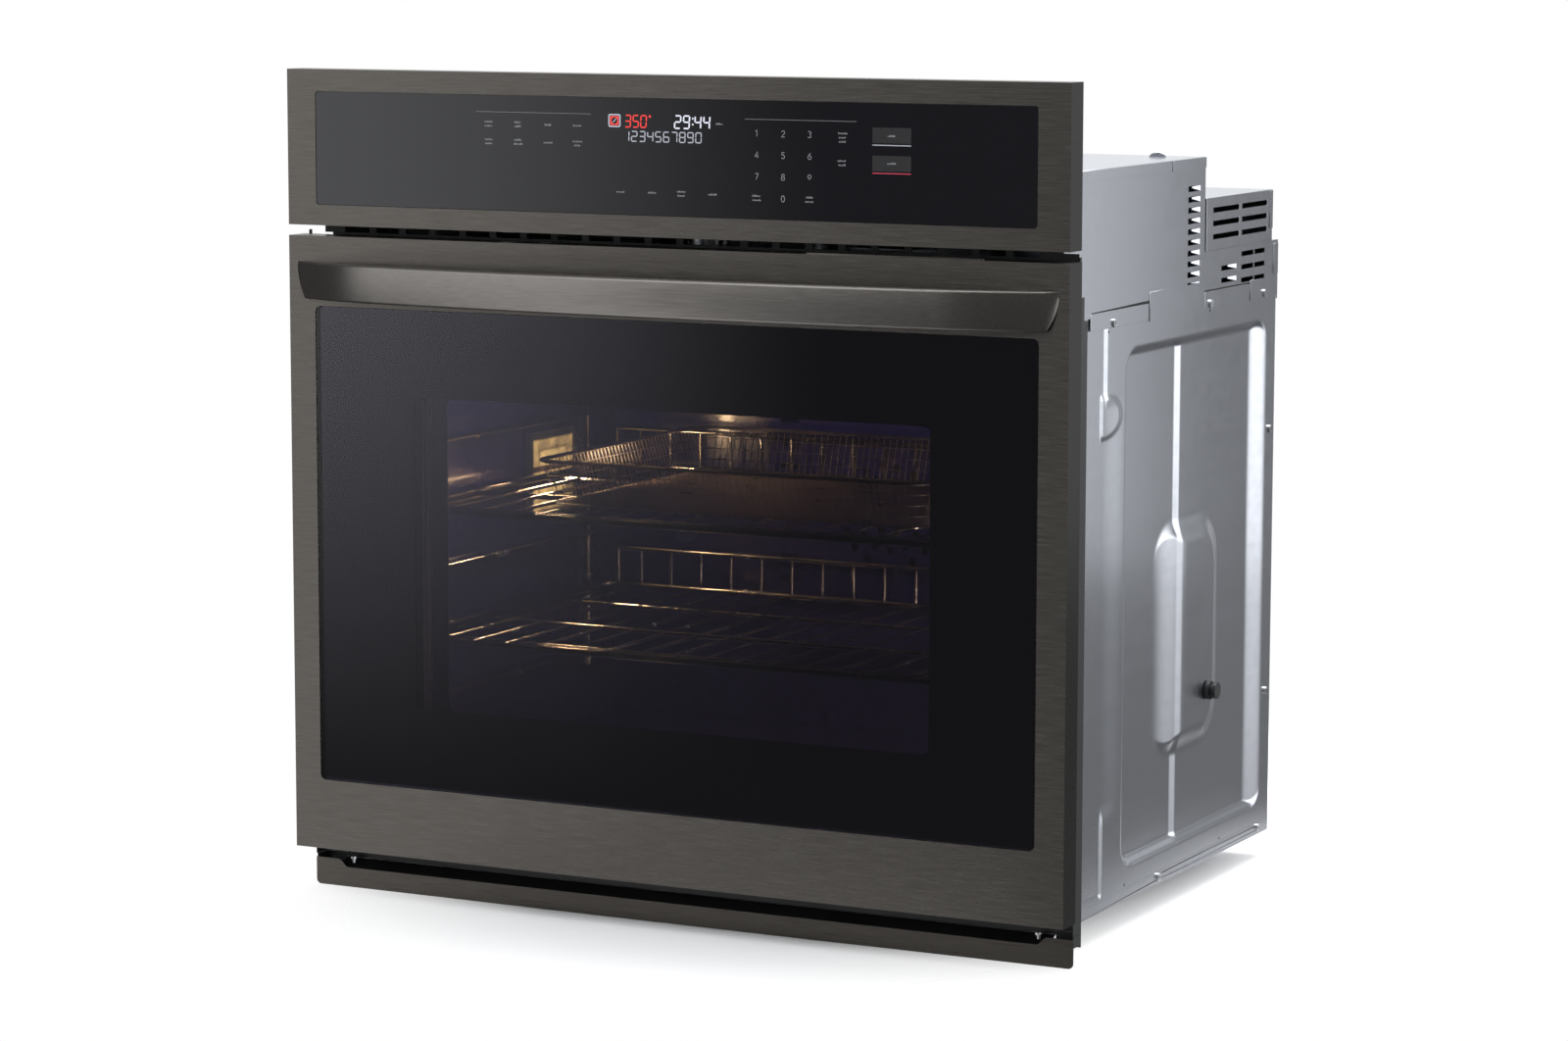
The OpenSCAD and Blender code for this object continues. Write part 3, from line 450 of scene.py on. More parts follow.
def soften(node, width):
    """Rounds a CAD node's sheared edges a little, without touching its mesh."""
    obj = NODES[node]
    weld = obj.modifiers.new("join", "WELD")
    weld.merge_threshold = WELD_WITHIN
    add_bevel(obj, width)


class Solid:
    """Gathers vertices and faces for one mesh."""

    def __init__(self):
        self.verts = []
        self.faces = []

    def add(self, verts, faces):
        start = len(self.verts)
        self.verts.extend(tuple(v) for v in verts)
        self.faces.extend([start + i for i in f] for f in faces)

    def mesh(self, name):
        mesh = bpy.data.meshes.new(name)
        mesh.from_pydata(self.verts, [], self.faces)
        work = bmesh.new()
        work.from_mesh(mesh)
        bmesh.ops.remove_doubles(work, verts=work.verts, dist=MERGE_WITHIN)
        bmesh.ops.recalc_face_normals(work, faces=work.faces)
        work.to_mesh(mesh)
        work.free()
        return mesh

    def plate(self, outline, holes, low, high, place):
        """A flat plate with holes: outlines in the plane, low and high across it."""
        loops = [outline, *holes]
        flat = [p for loop in loops for p in loop]
        triangles = tessellate_polygon([[Vector((*p, 0)) for p in loop] for loop in loops])
        count = len(flat)
        verts = [place(*p, low) for p in flat] + [place(*p, high) for p in flat]
        faces = [list(t) for t in triangles]
        faces += [[i + count for i in reversed(t)] for t in triangles]
        start = 0
        for loop in loops:
            n = len(loop)
            for i in range(n):
                a, b = start + i, start + (i + 1) % n
                faces.append([a, b, b + count, a + count])
            start += n
        self.add(verts, faces)

    def box(self, x, y, z):
        verts = [(a, b, c) for a in x for b in y for c in z]
        faces = [[0, 1, 3, 2], [4, 6, 7, 5], [0, 4, 5, 1], [2, 3, 7, 6],
                 [0, 2, 6, 4], [1, 5, 7, 3]]
        self.add(verts, faces)

    def tube(self, points, radius, sides=8, closed=False):
        """A round bar swept along points, with flat ends."""
        points = [Vector(p) for p in points]
        n = len(points)
        verts = []
        normal = None
        for i, p in enumerate(points):
            before = points[i - 1] if (i > 0 or closed) else p
            after = points[(i + 1) % n] if (i < n - 1 or closed) else p
            along = (after - before).normalized()
            if normal is None:
                helper = Vector((0, 0, 1)) if abs(along.z) < 0.9 else Vector((1, 0, 0))
                normal = along.cross(helper).normalized()
            else:
                normal = (normal - along * normal.dot(along)).normalized()
            side = along.cross(normal)
            for k in range(sides):
                a = 2 * math.pi * k / sides
                verts.append(p + (normal * math.cos(a) + side * math.sin(a)) * radius)
        faces = []
        for i in range(n if closed else n - 1):
            j = (i + 1) % n
            for k in range(sides):
                m = (k + 1) % sides
                faces.append([i * sides + k, i * sides + m, j * sides + m, j * sides + k])
        if not closed:
            faces.append(list(range(sides)))
            faces.append([(n - 1) * sides + k for k in reversed(range(sides))])
        self.add(verts, faces)


def rounded(x, z, r, steps=6):
    """Outline of a rectangle with round corners, anticlockwise."""
    r = min(r, (x[1] - x[0]) / 2 - 1e-6, (z[1] - z[0]) / 2 - 1e-6)
    points = []
    corners = [(x[1] - r, z[1] - r, 0), (x[0] + r, z[1] - r, 90),
               (x[0] + r, z[0] + r, 180), (x[1] - r, z[0] + r, 270)]
    for cx, cz, start in corners:
        for i in range(steps + 1):
            a = math.radians(start + 90 * i / steps)
            points.append((cx + r * math.cos(a), cz + r * math.sin(a)))
    return points


def mm(*values):
    return tuple(value * MM for value in values)


def rectangle(x, z):
    return [(x[1], z[1]), (x[0], z[1]), (x[0], z[0]), (x[1], z[0])]


def front_plane(a, b, depth):
    return (a, depth, b)


def side_plane(sign):
    return lambda a, b, depth: (sign * depth, a, b)


def top_plane(a, b, depth):
    return (a, b, depth)


def smooth_step(low, high, value):
    if high == low:
        return 1.0 if value > low else 0.0
    t = min(1.0, max(0.0, (value - low) / (high - low)))
    return t * t * (3 - 2 * t)


# ---- finishes of the CAD nodes ----------------------------------------------------

# Bevel width of the CAD nodes that keep their own mesh
SOFT_EDGES = {
    0.0006: ["side_trim_left", "side_trim_right"],
    0.0004: ["control_glass", "door_outer_glass", "vent_trim",
             "front_frame", "door_inner_panel", "base_pan", "rear_panel",
             "rear_box_cover", "blower_housing", "exhaust_duct", "latch_bolt",
             "hinge_arm_left", "hinge_arm_right", "door_hinge_left",
             "door_hinge_right", "conduit_gland", "side_bumpers"],
    0.0012: ["control_panel_frame", "door_skin"],
}


def finish_nodes():
    for item in frame["record"]["subparts"]:
        node = NODES[item["node"]]
        chosen = MATERIALS[item["material_slot"]]
        if node.material_slots:
            for slot in node.material_slots:
                slot.material = chosen
        else:
            node.data.materials.append(chosen)
    for slot in NODES["control_glass"].material_slots:
        slot.material = MATERIALS["panel_glass"]
    for width, names in SOFT_EDGES.items():
        for name in names:
            soften(name, width)


# ---- side panels --------------------------------------------------------------------

SIDE_X = 0.352
PANEL_Y = (0.0003, 0.5028)
PANEL_Z = (0.012, 0.517)
SHEET = 0.0012


def bump_between(value, low, high, soft):
    """1 between low and high, falling to 0 over soft on either side."""
    return smooth_step(low - soft, low, value) * (1 - smooth_step(high, high + soft, value))


def rounded_field(y, z, y_range, z_range, radius, soft_front, soft_back, soft_edge):
    """How far a point is inside a pressed field, 0 to 1, with its own slope each side."""
    inside_y = min((y - y_range[0]) / soft_front, (y_range[1] - y) / soft_back)
    inside_z = min((z - z_range[0]) / soft_edge, (z_range[1] - z) / soft_edge)
    dy = max(0.0, radius - min(y - y_range[0], y_range[1] - y))
    dz = max(0.0, radius - min(z - z_range[0], z_range[1] - z))
    if dy > 0 and dz > 0:
        corner = (radius - math.hypot(dy, dz)) / soft_edge
        inside_z = min(inside_z, corner)
    t = min(1.0, max(0.0, min(inside_y, inside_z)))
    return t * t * (3 - 2 * t)


# The pressing in mm. Field and boss: y range, z range, corner radius, then the widths
# of the front, back and top slopes
FIELD = ((140, 483), (28, 486), 26, 16, 36, 9)
FIELD_DEPTH = 6.0
STEP_Y = (271, 282)
STEP_Z = (24, 478, 10)
STEP_DEPTH = 2.2
BOSS = ((226, 378), (108, 322), 44, 66, 22, 24)
BOSS_RISE = 5.2
# The lowered front strip: where its upper, lower, narrow and wide parts end
FRONT_UPPER = (436, 448)
FRONT_LOWER = (78, 92)
FRONT_NARROW = (93, 99)
FRONT_WIDE = (94, 138)
FRONT_DEPTH = 1.3
EAR_MID = (94, 430)
EAR_HALF = (40.0, 21.0)
EAR_FROM_Y = 88
EAR_RISE = 1.3


def side_relief(y, z):
    """Outward height in mm of the pressed side sheet at y, z in mm."""
    field = rounded_field(y, z, *FIELD)
    step = (1 - smooth_step(*STEP_Y, y)) * bump_between(z, *STEP_Z)
    height = -FIELD_DEPTH * field - STEP_DEPTH * field * step
    boss = rounded_field(y, z, *BOSS)
    height += (BOSS_RISE + STEP_DEPTH * step * 0.6) * boss
    blend = min(1.0, smooth_step(*FRONT_UPPER, z) + 1 - smooth_step(*FRONT_LOWER, z))
    front = (1 - smooth_step(*FRONT_NARROW, y)) * blend
    front += (1 - smooth_step(*FRONT_WIDE, y)) * (1 - blend)
    height -= FRONT_DEPTH * front
    if y > EAR_FROM_Y:
        ear_y = max(0.0, (y - EAR_MID[0]) / EAR_HALF[0])
        ear_z = (z - EAR_MID[1]) / EAR_HALF[1]
        height += EAR_RISE * (1 - smooth_step(0.72, 1.0, math.hypot(ear_y, ear_z)))
    return height * smooth_step(0, 4, z - 12) * smooth_step(0, 6, 503 - y)


# Places in mm where a side sheet's grid lines run closer together
COARSE = 5.0
FINE = 1.6
FINE_Y = [(84, 160), (220, 296), (350, 384), (440, 490)]
FINE_Z = [(12, 50), (96, 136), (296, 330), (400, 490)]


def fine_steps(low, high, places):
    """Grid lines in mm from low to high, closer together in the given places."""
    values = [low]
    while values[-1] < high - 0.3:
        here = values[-1]
        near = any(a <= here <= b for a, b in places)
        values.append(min(high, here + (FINE if near else COARSE)))
    return values


def side_sheet(name, sign, node):
    y_lines = fine_steps(PANEL_Y[0] * 1000, PANEL_Y[1] * 1000, FINE_Y)
    z_lines = fine_steps(PANEL_Z[0] * 1000, PANEL_Z[1] * 1000, FINE_Z)
    rows = len(z_lines)
    outer = []
    for y in y_lines:
        for z in z_lines:
            outer.append((sign * (SIDE_X + side_relief(y, z) * MM), y * MM, z * MM))
    inner = [(x - sign * SHEET, y, z) for x, y, z in outer]
    count = len(outer)
    faces = []
    for i in range(len(y_lines) - 1):
        for j in range(rows - 1):
            a = i * rows + j
            quad = [a, a + rows, a + rows + 1, a + 1]
            faces.append(quad)
            faces.append([count + k for k in reversed(quad)])
    rim = [j for j in range(rows)]
    rim += [i * rows + rows - 1 for i in range(1, len(y_lines))]
    rim += [(len(y_lines) - 1) * rows + j for j in range(rows - 2, -1, -1)]
    rim += [i * rows for i in range(len(y_lines) - 2, 0, -1)]
    for i in range(len(rim)):
        a, b = rim[i], rim[(i + 1) % len(rim)]
        faces.append([a, b, b + count, a + count])
    solid = Solid()
    solid.add(outer + inner, faces)
    finish_piece(name, solid, "galvanised", "root", [node], smooth=50)


def painted_side_holes(name, sign):
    """Painted shade: thin dark patches on the side sheet where the lock slots, dimple holes
    and the gaps round the folded tabs fall into shade.
    """
    plane = side_plane(sign)
    solid = Solid()
    shallow = (SIDE_X + 0.00002, SIDE_X + 0.00022)

    def dark(y, z, r=0.0003):
        solid.plate(rounded(mm(*y), mm(*z), r, 2), [], *shallow, plane)

    for y, z in ((116.6, 512), (341.5, 511.5)):
        dark((y - 0.4, y + 1.6), (z - 4.2, z + 4.2))
        dark((y - 3.4, y), (z + 2.6, z + 4.2))
        dark((y - 3.4, y), (z - 4.2, z - 2.8))
    for y, z in ((100.5, 502.8), (336, 503.6), (150, 14.4), (378, 14.4)):
        dark((y - 0.9, y + 0.9), (z - 0.9, z + 0.9), 0.0008)
    finish_piece(name, solid, "slot_dark", "root")


# ---- housing and rear covers ---------------------------------------------------------

HOUSING_Y = (0.003, 0.321)
HOUSING_Z = (0.517, 0.642)
LOUVRE_TOP = 617.5
LOUVRE_STEP = 9.5
LOUVRES = 10


def louvre_row(y, z, slot_h):
    return rounded(mm(*y), mm(z - slot_h, z), 0.0008, 2)


def blade(solid, sign, y_root, y_tip, z_low, z_high, lift=3.0):
    """The bent tongue of one louvre: it leans from the sheet back into the slot."""
    x = SIDE_X
    tip_z = (z_low + z_high) / 2 + 0.9
    outer = [(x - 0.1 * MM, y_root * MM, z_low * MM), (x - 0.1 * MM, y_root * MM, z_high * MM),
             (x - lift * MM, y_tip * MM, (tip_z + 0.7) * MM),
             (x - lift * MM, y_tip * MM, (tip_z - 0.7) * MM)]
    inner = [(a - 0.8 * MM, b, c) for a, b, c in outer]
    verts = [(sign * a, b, c) for a, b, c in outer + inner]
    faces = [[0, 1, 2, 3], [7, 6, 5, 4], [0, 4, 5, 1], [1, 5, 6, 2], [2, 6, 7, 3],
             [3, 7, 4, 0]]
    solid.add(verts, faces)


def housing_skin():
    solid = Solid()
    y, z = HOUSING_Y, HOUSING_Z
    slots = [louvre_row((280, 309), LOUVRE_TOP - i * LOUVRE_STEP, 5.0)
             for i in range(LOUVRES)]
    notch = rectangle((0.2386, 0.2402), (0.6325, 0.6405))
    for sign in (1, -1):
        plane = side_plane(sign)
        solid.plate(rectangle(y, (z[0], z[1] - 0.0002)), [*slots, notch],
                    SIDE_X - SHEET, SIDE_X, plane)
        solid.plate(rectangle((y[0], 0.2386), (0.6325, 0.6418)), [],
                    SIDE_X + 0.00005, SIDE_X + 0.0009, plane)
        solid.plate(rectangle((0.2402, y[1] - 0.0005), (0.6325, 0.6418)), [],
                    SIDE_X + 0.00005, SIDE_X + 0.0009, plane)
        for i in range(LOUVRES):
            top = LOUVRE_TOP - i * LOUVRE_STEP
            blade(solid, sign, 309, 296, top - 5.0, top)
    solid.plate(rectangle((-SIDE_X + SHEET, SIDE_X - SHEET), (y[0], y[1])), [],
                z[1] - SHEET, z[1], top_plane)
    ridge = rounded((-0.30, 0.2926), (0.2139, 0.2299), 0.0079, 6)
    solid.plate(ridge, [], z[1] - 0.0002, z[1] - 0.00002, top_plane)
    inside = (-SIDE_X + SHEET, SIDE_X - SHEET)
    solid.plate(rectangle(inside, (z[0], z[1] - SHEET)), [], y[1] - SHEET, y[1],
                front_plane)
    finish_piece("housing_skin", solid, "galvanised", "root",
                 ["housing_cover"], 0.0003, 1)


def on_sides(solid, outlines, low, high):
    """Thin plates on both sides, from low to high outside the sheet."""
    for sign in (1, -1):
        for outline in outlines:
            solid.plate(outline, [], SIDE_X + low, SIDE_X + high, side_plane(sign))


# Flat flanges and soft-cornered pads in y and z, and the painted shade in the gaps beside them
TABS = ([(0.3205, 0.5305), (0.1915, 0.5305), (0.1915, 0.5048), (0.3205, 0.5048)],
        rectangle((0.4352, 0.5058), (0.5052, 0.5240)),
        rectangle((0.4835, 0.4908), (0.5690, 0.6040)),
        rectangle((0.4950, 0.5064), (0.5260, 0.5545)))
PADS = (rounded((0.060, 0.1895), (0.5060, 0.5208), 0.0015, 3),
        rounded((0.3225, 0.4338), (0.5060, 0.5212), 0.0015, 3))
SHADED_GAPS = ([(0.1893, 0.5232), (0.062, 0.5216), (0.062, 0.5207), (0.1893, 0.5207)],
        rectangle((0.1894, 0.1912), (0.5060, 0.5232)),
        rectangle((0.3225, 0.4350), (0.5211, 0.5226)),
        rectangle((0.4338, 0.4352), (0.5062, 0.5226)))
BOX_GAP_SHADE = rectangle((0.3213, 0.3247), (0.5578, 0.6040))


def folded_tabs():
    """Overlapping flanges where the housing, side sheets and rear covers meet."""
    solid = Solid()
    on_sides(solid, TABS, 0.00005, 0.0006)
    on_sides(solid, PADS, 0.00005, 0.0004)
    finish_piece("folded_tabs", solid, "galvanised", "root", (), 0.0002, 1)


def painted_fold_shade():
    """Painted shade: thin dark strips above the folded tabs, and a dark sheet in the gap
    beside the rear box.
    """
    solid = Solid()
    on_sides(solid, SHADED_GAPS, 0.00001, 0.00018)
    on_sides(solid, [BOX_GAP_SHADE], -0.004, -0.0015)
    finish_piece("painted_fold_shade", solid, "slot_dark", "root")


def rear_louvres():
    solid = Solid()
    for sign in (1, -1):
        for top in (542, 531):
            blade(solid, sign, 401, 386, top - 4.5, top)
    finish_piece("rear_louvres", solid, "galvanised", "root")


def top_tongues():
    """Half-round lanced tongues on the housing's top, two on each side."""
    solid = Solid()
    for x, y in ((0.206, 0.312), (0.318, 0.290), (-0.206, 0.312), (-0.318, 0.290)):
        outline = []
        for i in range(13):
            a = math.pi * i / 12
            outline.append((x + 0.008 * math.cos(a), 0.6421 + 0.0042 * math.sin(a)))
        solid.plate(outline, [], y, y + 0.0008, front_plane)
    finish_piece("top_tongues", solid, "galvanised", "root", (), 0.0002, 1)


# ---- trims and gap ends -----------------------------------------------------------------

TRIM_HALF = 0.375
TRIM_Z = (-0.0235, 0.0015)
TRIM_DIP = -0.0055
TRIM_DIP_X = (0.341, 0.351)
TRIM_CORNER = 0.0045
TRIM_Y = (-0.0175, -0.0163)


def trim_face():
    """The bottom trim's face: its top edge dips between the two ends."""
    right = []
    for i in range(7):
        a = math.radians(-90 + 15 * i)
        right.append((TRIM_HALF - TRIM_CORNER + TRIM_CORNER * math.cos(a),
                      TRIM_Z[0] + TRIM_CORNER + TRIM_CORNER * math.sin(a)))
    right.append((TRIM_HALF, TRIM_Z[1]))
    for i in range(9):
        t = i / 8
        x = TRIM_DIP_X[1] + (TRIM_DIP_X[0] - TRIM_DIP_X[1]) * t
        drop = smooth_step(0, 1, t)
        right.append((x, TRIM_Z[1] + (TRIM_DIP - TRIM_Z[1]) * drop))
    left = [(-x, z) for x, z in reversed(right)]
    solid = Solid()
    solid.plate(right + left, [], TRIM_Y[0], TRIM_Y[1], front_plane)
    finish_piece("trim_face", solid, "trim_stainless", "root",
                 ["bottom_trim"], 0.0003, 2)


def slab(solid, x, near, far, thick):
    """A sloped strip across x from the near (y, z) edge up to the far one."""
    verts = []
    for side in x:
        for y, z in (near, far):
            verts.append((side, y, z))
            verts.append((side, y, z - thick))
    solid.add(verts, [[0, 2, 6, 4], [1, 5, 7, 3], [0, 4, 5, 1], [2, 3, 7, 6],
                      [0, 1, 3, 2], [4, 6, 7, 5]])


# The ledge behind the dip: half length, near and far (y, z) edges and thickness
LEDGE_HALF = 0.3515
LEDGE_EDGES = ((-0.0162, -0.0064), (-0.0016, 0.0008))
LEDGE_T = 0.0008
# Blocks in x (on both sides), y and z that close the ledge's and the vent strip's ends,
# and the cap on the right side trim
LEDGE_ENDS = (((0.3524, 0.3748), (-0.0012, -0.0002), (-0.0080, 0.0044)),
              ((0.3738, 0.3748), (-0.0161, -0.0013), (-0.0060, 0.0044)))
VENT_END = ((0.338, 0.359), (-0.0155, -0.0147), (0.5725, 0.5798))
TRIM_CAP = ((0.3523, 0.3737), (-0.0170, -0.0160), (0.5450, 0.5772))


def box_pair(solid, x, y, z):
    for sign in (1, -1):
        solid.box(sorted(sign * edge for edge in x), y, z)


def trim_ledge():
    """The sunk black ledge behind the bottom trim's dip, and what closes its ends."""
    solid = Solid()
    slab(solid, (-LEDGE_HALF, LEDGE_HALF), *LEDGE_EDGES, LEDGE_T)
    for block in LEDGE_ENDS:
        box_pair(solid, *block)
    finish_piece("trim_ledge", solid, "black_paint", "root")


def gap_ends():
    """Black ends of the vent strip and the cap on the right side trim."""
    solid = Solid()
    box_pair(solid, *VENT_END)
    solid.box(*TRIM_CAP)
    finish_piece("gap_ends", solid, "black_paint", "root")


# ---- door -----------------------------------------------------------------------------

# The glass's printed border: outer and inner x, z and corner radius, and its depth
PRINT_OUT = ((-0.3503, 0.3503), (0.0805, 0.5081), 0.0054, 6)
PRINT_IN = ((-0.252, 0.252), (0.1525, 0.4320), 0.006, 6)
PRINT_Y = (-0.0419, -0.0417)
SPACER_X = 0.2508
SPACER_Y = (-0.0285, -0.0225, -0.0195)
SPACER_Z = (0.146, 0.290, 0.428)
SPACER_R = 0.0007


def glass_print():
    """The black border fired into the back of the door's outer glass."""
    solid = Solid()
    solid.plate(rounded(*PRINT_OUT), [rounded(*PRINT_IN)], *PRINT_Y, front_plane)
    finish_piece("glass_print", solid, "glass_print", "door")


def glass_spacers():
    """Thin spring strips that hold the inner panes in the door's window frame. Their brass
    tone is painted light: the warm lamp glint along the glass edges.
    """
    solid = Solid()
    for x in (SPACER_X, -SPACER_X):
        for y in SPACER_Y:
            solid.tube([(x, y, z) for z in SPACER_Z], SPACER_R, 6)
    finish_piece("glass_spacers", solid, "spacer_metal", "door")


# The handle in plan: a long bow as far as BOW_X, then a tighter end. Its half length,
# the rounding of its lower end corners, thickness, height range and reach
BOW_R = 2.611
BOW_X = 0.270
END_R = 0.299
HANDLE_HALF = 0.369
END_ROUND = 0.062
HANDLE_T = 0.012
HANDLE_Z = (0.515, 0.548)
DOOR_FRONT = -0.046
HANDLE_OUT = 0.042
HANDLE_STEPS = 150
HANDLE_EDGE = 0.0022


def bow_depth(x, inset):
    """y of the handle's bow at x, moved back by inset."""
    centre = DOOR_FRONT - HANDLE_OUT + BOW_R
    lean = math.asin(BOW_X / BOW_R)
    x = abs(x)
    if x <= (BOW_R - inset) * math.sin(lean):
        return centre - math.sqrt((BOW_R - inset) ** 2 - x * x)
    end_x = (BOW_R - END_R) * math.sin(lean)
    end_y = centre - (BOW_R - END_R) * math.cos(lean)
    radius = END_R - inset
    reach = min(radius - 1e-6, x - end_x)
    return end_y - math.sqrt(radius * radius - reach * reach)


def handle_bar():
    stations = []
    for i in range(HANDLE_STEPS + 1):
        t = -1 + 2 * i / HANDLE_STEPS
        stations.append(HANDLE_HALF * math.sin(t * math.pi / 2) * 0.9999)
    rings = []
    for x in stations:
        over = max(0.0, abs(x) - (HANDLE_HALF - END_ROUND))
        low = HANDLE_Z[1] - math.sqrt(max(0.0, END_ROUND ** 2 - over ** 2))
        low = min(max(low, HANDLE_Z[0]), HANDLE_Z[1] - 0.0004)
        front = min(bow_depth(x, 0.0), DOOR_FRONT - 0.0002)
        back = min(bow_depth(x, HANDLE_T), DOOR_FRONT)
        rings.append(handle_section(x, front, back, low, HANDLE_Z[1]))
    solid = Solid()
    verts = [v for ring in rings for v in ring]
    size = len(rings[0])
    faces = []
    for i in range(len(rings) - 1):
        for k in range(size):
            m = (k + 1) % size
            faces.append([i * size + k, i * size + m, (i + 1) * size + m,
                          (i + 1) * size + k])
    faces.append(list(range(size)))
    faces.append([(len(rings) - 1) * size + k for k in reversed(range(size))])
    solid.add(verts, faces)
    finish_piece("handle_bar", solid, "handle_stainless", "door",
                 ["door_handle"], smooth=50)


def handle_section(x, front, back, low, high):
    """Section of the bar at x: flat front and back with rounded edges."""
    r = min(HANDLE_EDGE, (back - front) * 0.45, (high - low) * 0.45)
    points = []
    for cy, cz, start in ((back - r, high - r, 0), (front + r, high - r, 90),
                          (front + r, low + r, 180), (back - r, low + r, 270)):
        for i in range(5):
            a = math.radians(start + 90 * i / 4)
            points.append((x, cy + r * math.cos(a), cz + r * math.sin(a)))
    return points


def top_lip():
    """The low rolled lip on the door's top edge."""
    solid = Solid()
    solid.plate(rounded((0.134, 0.300), (-0.0435, -0.0365), 0.003, 5), [], 0.5709, 0.5722,
                top_plane)
    finish_piece("top_lip", solid, "black_stainless", "door", (), 0.0005, 2)


# ---- control panel marks -----------------------------------------------------------

GLASS_FACE = -0.0456
INK = (GLASS_FACE - 0.00012, GLASS_FACE - 0.00002)
KEY_X = (90.4, 115.4, 140.2)
KEY_Z = (671.3, 653.1, 634.9, 616.8)
DIGIT_H = 5.2
DIGIT_STROKE = 0.00058
ROW_STEP = 3.5
TICK_DROP = 0.6
RULE_HALF = 0.16


def ink(solid, outline, holes=()):
    solid.plate(outline, holes, *INK, front_plane)


def ribbon(points, width):
    """Outline of a line of constant width along points, with mitred turns."""
    left, right = [], []
    n = len(points)
    for i in range(n):
        p = Vector(points[i])
        a = (p - Vector(points[i - 1])).normalized() if i > 0 else None
        b = (Vector(points[i + 1]) - p).normalized() if i < n - 1 else None
        along = (a + b).normalized() if a is not None and b is not None else (a or b)
        side = Vector((-along.y, along.x))
        stretch = 1.0
        if a is not None and b is not None:
            stretch = 1 / max(0.5, side.dot(Vector((-a.y, a.x))))
        left.append(p + side * width / 2 * stretch)
        right.append(p - side * width / 2 * stretch)
    return [tuple(p) for p in left + right[::-1]]


def arc(cx, cy, rx, ry, start, end, steps=9):
    points = []
    for i in range(steps):
        a = math.radians(start + (end - start) * i / (steps - 1))
        points.append((cx + rx * math.cos(a), cy + ry * math.sin(a)))
    return points


DIGIT_STROKES = {
    "0": [arc(0.3, 0.5, 0.3, 0.5, 90, 449, 17)],
    "1": [[(0.1, 0.8), (0.36, 1.0), (0.36, 0.0)]],
    "2": [arc(0.3, 0.72, 0.28, 0.28, 165, -30) + [(0.02, 0.0), (0.6, 0.0)]],
    "3": [arc(0.27, 0.76, 0.26, 0.24, 150, -90), arc(0.27, 0.26, 0.3, 0.26, 90, -150)],
    "4": [[(0.46, 0.0), (0.46, 1.0), (0.0, 0.3), (0.64, 0.3)]],
    "5": [[(0.55, 1.0), (0.1, 1.0)] + arc(0.27, 0.32, 0.3, 0.32, 125, -150)],
    "6": [[(0.48, 1.0), (0.16, 0.66)] + arc(0.31, 0.3, 0.29, 0.3, 150, 505, 15)],
    "7": [[(0.0, 1.0), (0.6, 1.0), (0.2, 0.0)]],
    "8": [arc(0.3, 0.76, 0.24, 0.24, 270, 629, 13), arc(0.3, 0.26, 0.3, 0.26, 90, 449, 13)],
    "9": [[(0.13, 0.0), (0.45, 0.36)] + arc(0.3, 0.7, 0.29, 0.3, -30, 325, 15)],
}


def keypad_digits():
    solid = Solid()
    order = ["1", "2", "3", "4", "5", "6", "7", "8", "9", "", "0", ""]
    for i, key in enumerate(order):
        if not key:
            continue
        x0 = KEY_X[i % 3] - 0.3 * DIGIT_H
        z0 = KEY_Z[i // 3] - 0.5 * DIGIT_H
        for stroke in DIGIT_STROKES[key]:
            line = [mm(x0 + a * DIGIT_H, z0 + b * DIGIT_H) for a, b in stroke]
            ink(solid, ribbon(line, DIGIT_STROKE))
    finish_piece("keypad_digits", solid, "legend_ink", "root")


def legend(solid, x, z, rows, rng):
    """A touch area's mark: rows of short plain ticks that say nothing."""
    for row in range(rows):
        level = z + (rows - 1) * 1.7 - row * ROW_STEP
        length = rng.uniform(6.4, 9.0)
        place = x - length / 2
        while place < x + length / 2 - 0.5:
            wide = rng.uniform(0.5, 1.0)
            tall = rng.choice((1.0, 1.1, 1.6))
            low = level - TICK_DROP
            ink(solid, rounded(mm(place, place + wide), mm(low, low + tall), 0.00015, 2))
            place += wide + rng.uniform(0.3, 0.5)


# Each mark's x, z in mm and rows, then the two thin rules' x range and z
MARKS = ((-171.1, 674.0, 2), (-171.1, 658.8, 2), (-141.6, 674.0, 2), (-141.6, 658.8, 2),
         (-111.8, 674.0, 1), (-111.8, 658.8, 1), (-82.8, 674.0, 1), (-82.8, 658.8, 2),
         (-40.2, 618.4, 1), (-10.1, 618.4, 1), (18.3, 618.4, 2), (48.4, 618.4, 1),
         (90.4, 616.8, 2), (140.2, 616.8, 2), (171.0, 669.4, 3), (170.6, 648.2, 2),
         (216.4, 671.4, 1), (216.4, 648.6, 1), (54.8, 678.2, 1))
RULES = (((-183.3, -69.2), 684.4), ((79.2, 183.8), 683.0))


def panel_legends():
    rng = random.Random(11)
    solid = Solid()
    for x, z, rows in MARKS:
        legend(solid, x, z, rows, rng)
    for x, z in RULES:
        ink(solid, rectangle(mm(*x), mm(z - RULE_HALF, z + RULE_HALF)))
    finish_piece("panel_legends", solid, "legend_ink", "root")


KEY_SIDES = (0.1986, 0.2341)


def touch_keys():
    """Two framed touch keys, each with a coloured line under it."""
    faces = Solid()
    white = Solid()
    red = Solid()
    for z, line in ((665.5, white), (642.2, red)):
        faces.plate(rounded(KEY_SIDES, mm(z, z + 13), 0.0004, 2), [],
                    GLASS_FACE - 0.00008, GLASS_FACE - 0.00002, front_plane)
        ink(line, rectangle(KEY_SIDES, mm(z - 2.0, z - 1.3)))
    finish_piece("touch_keys", faces, "key_face", "root")
    finish_piece("key_line_white", white, "digit_dim", "root")
    finish_piece("key_line_red", red, "key_red", "root")


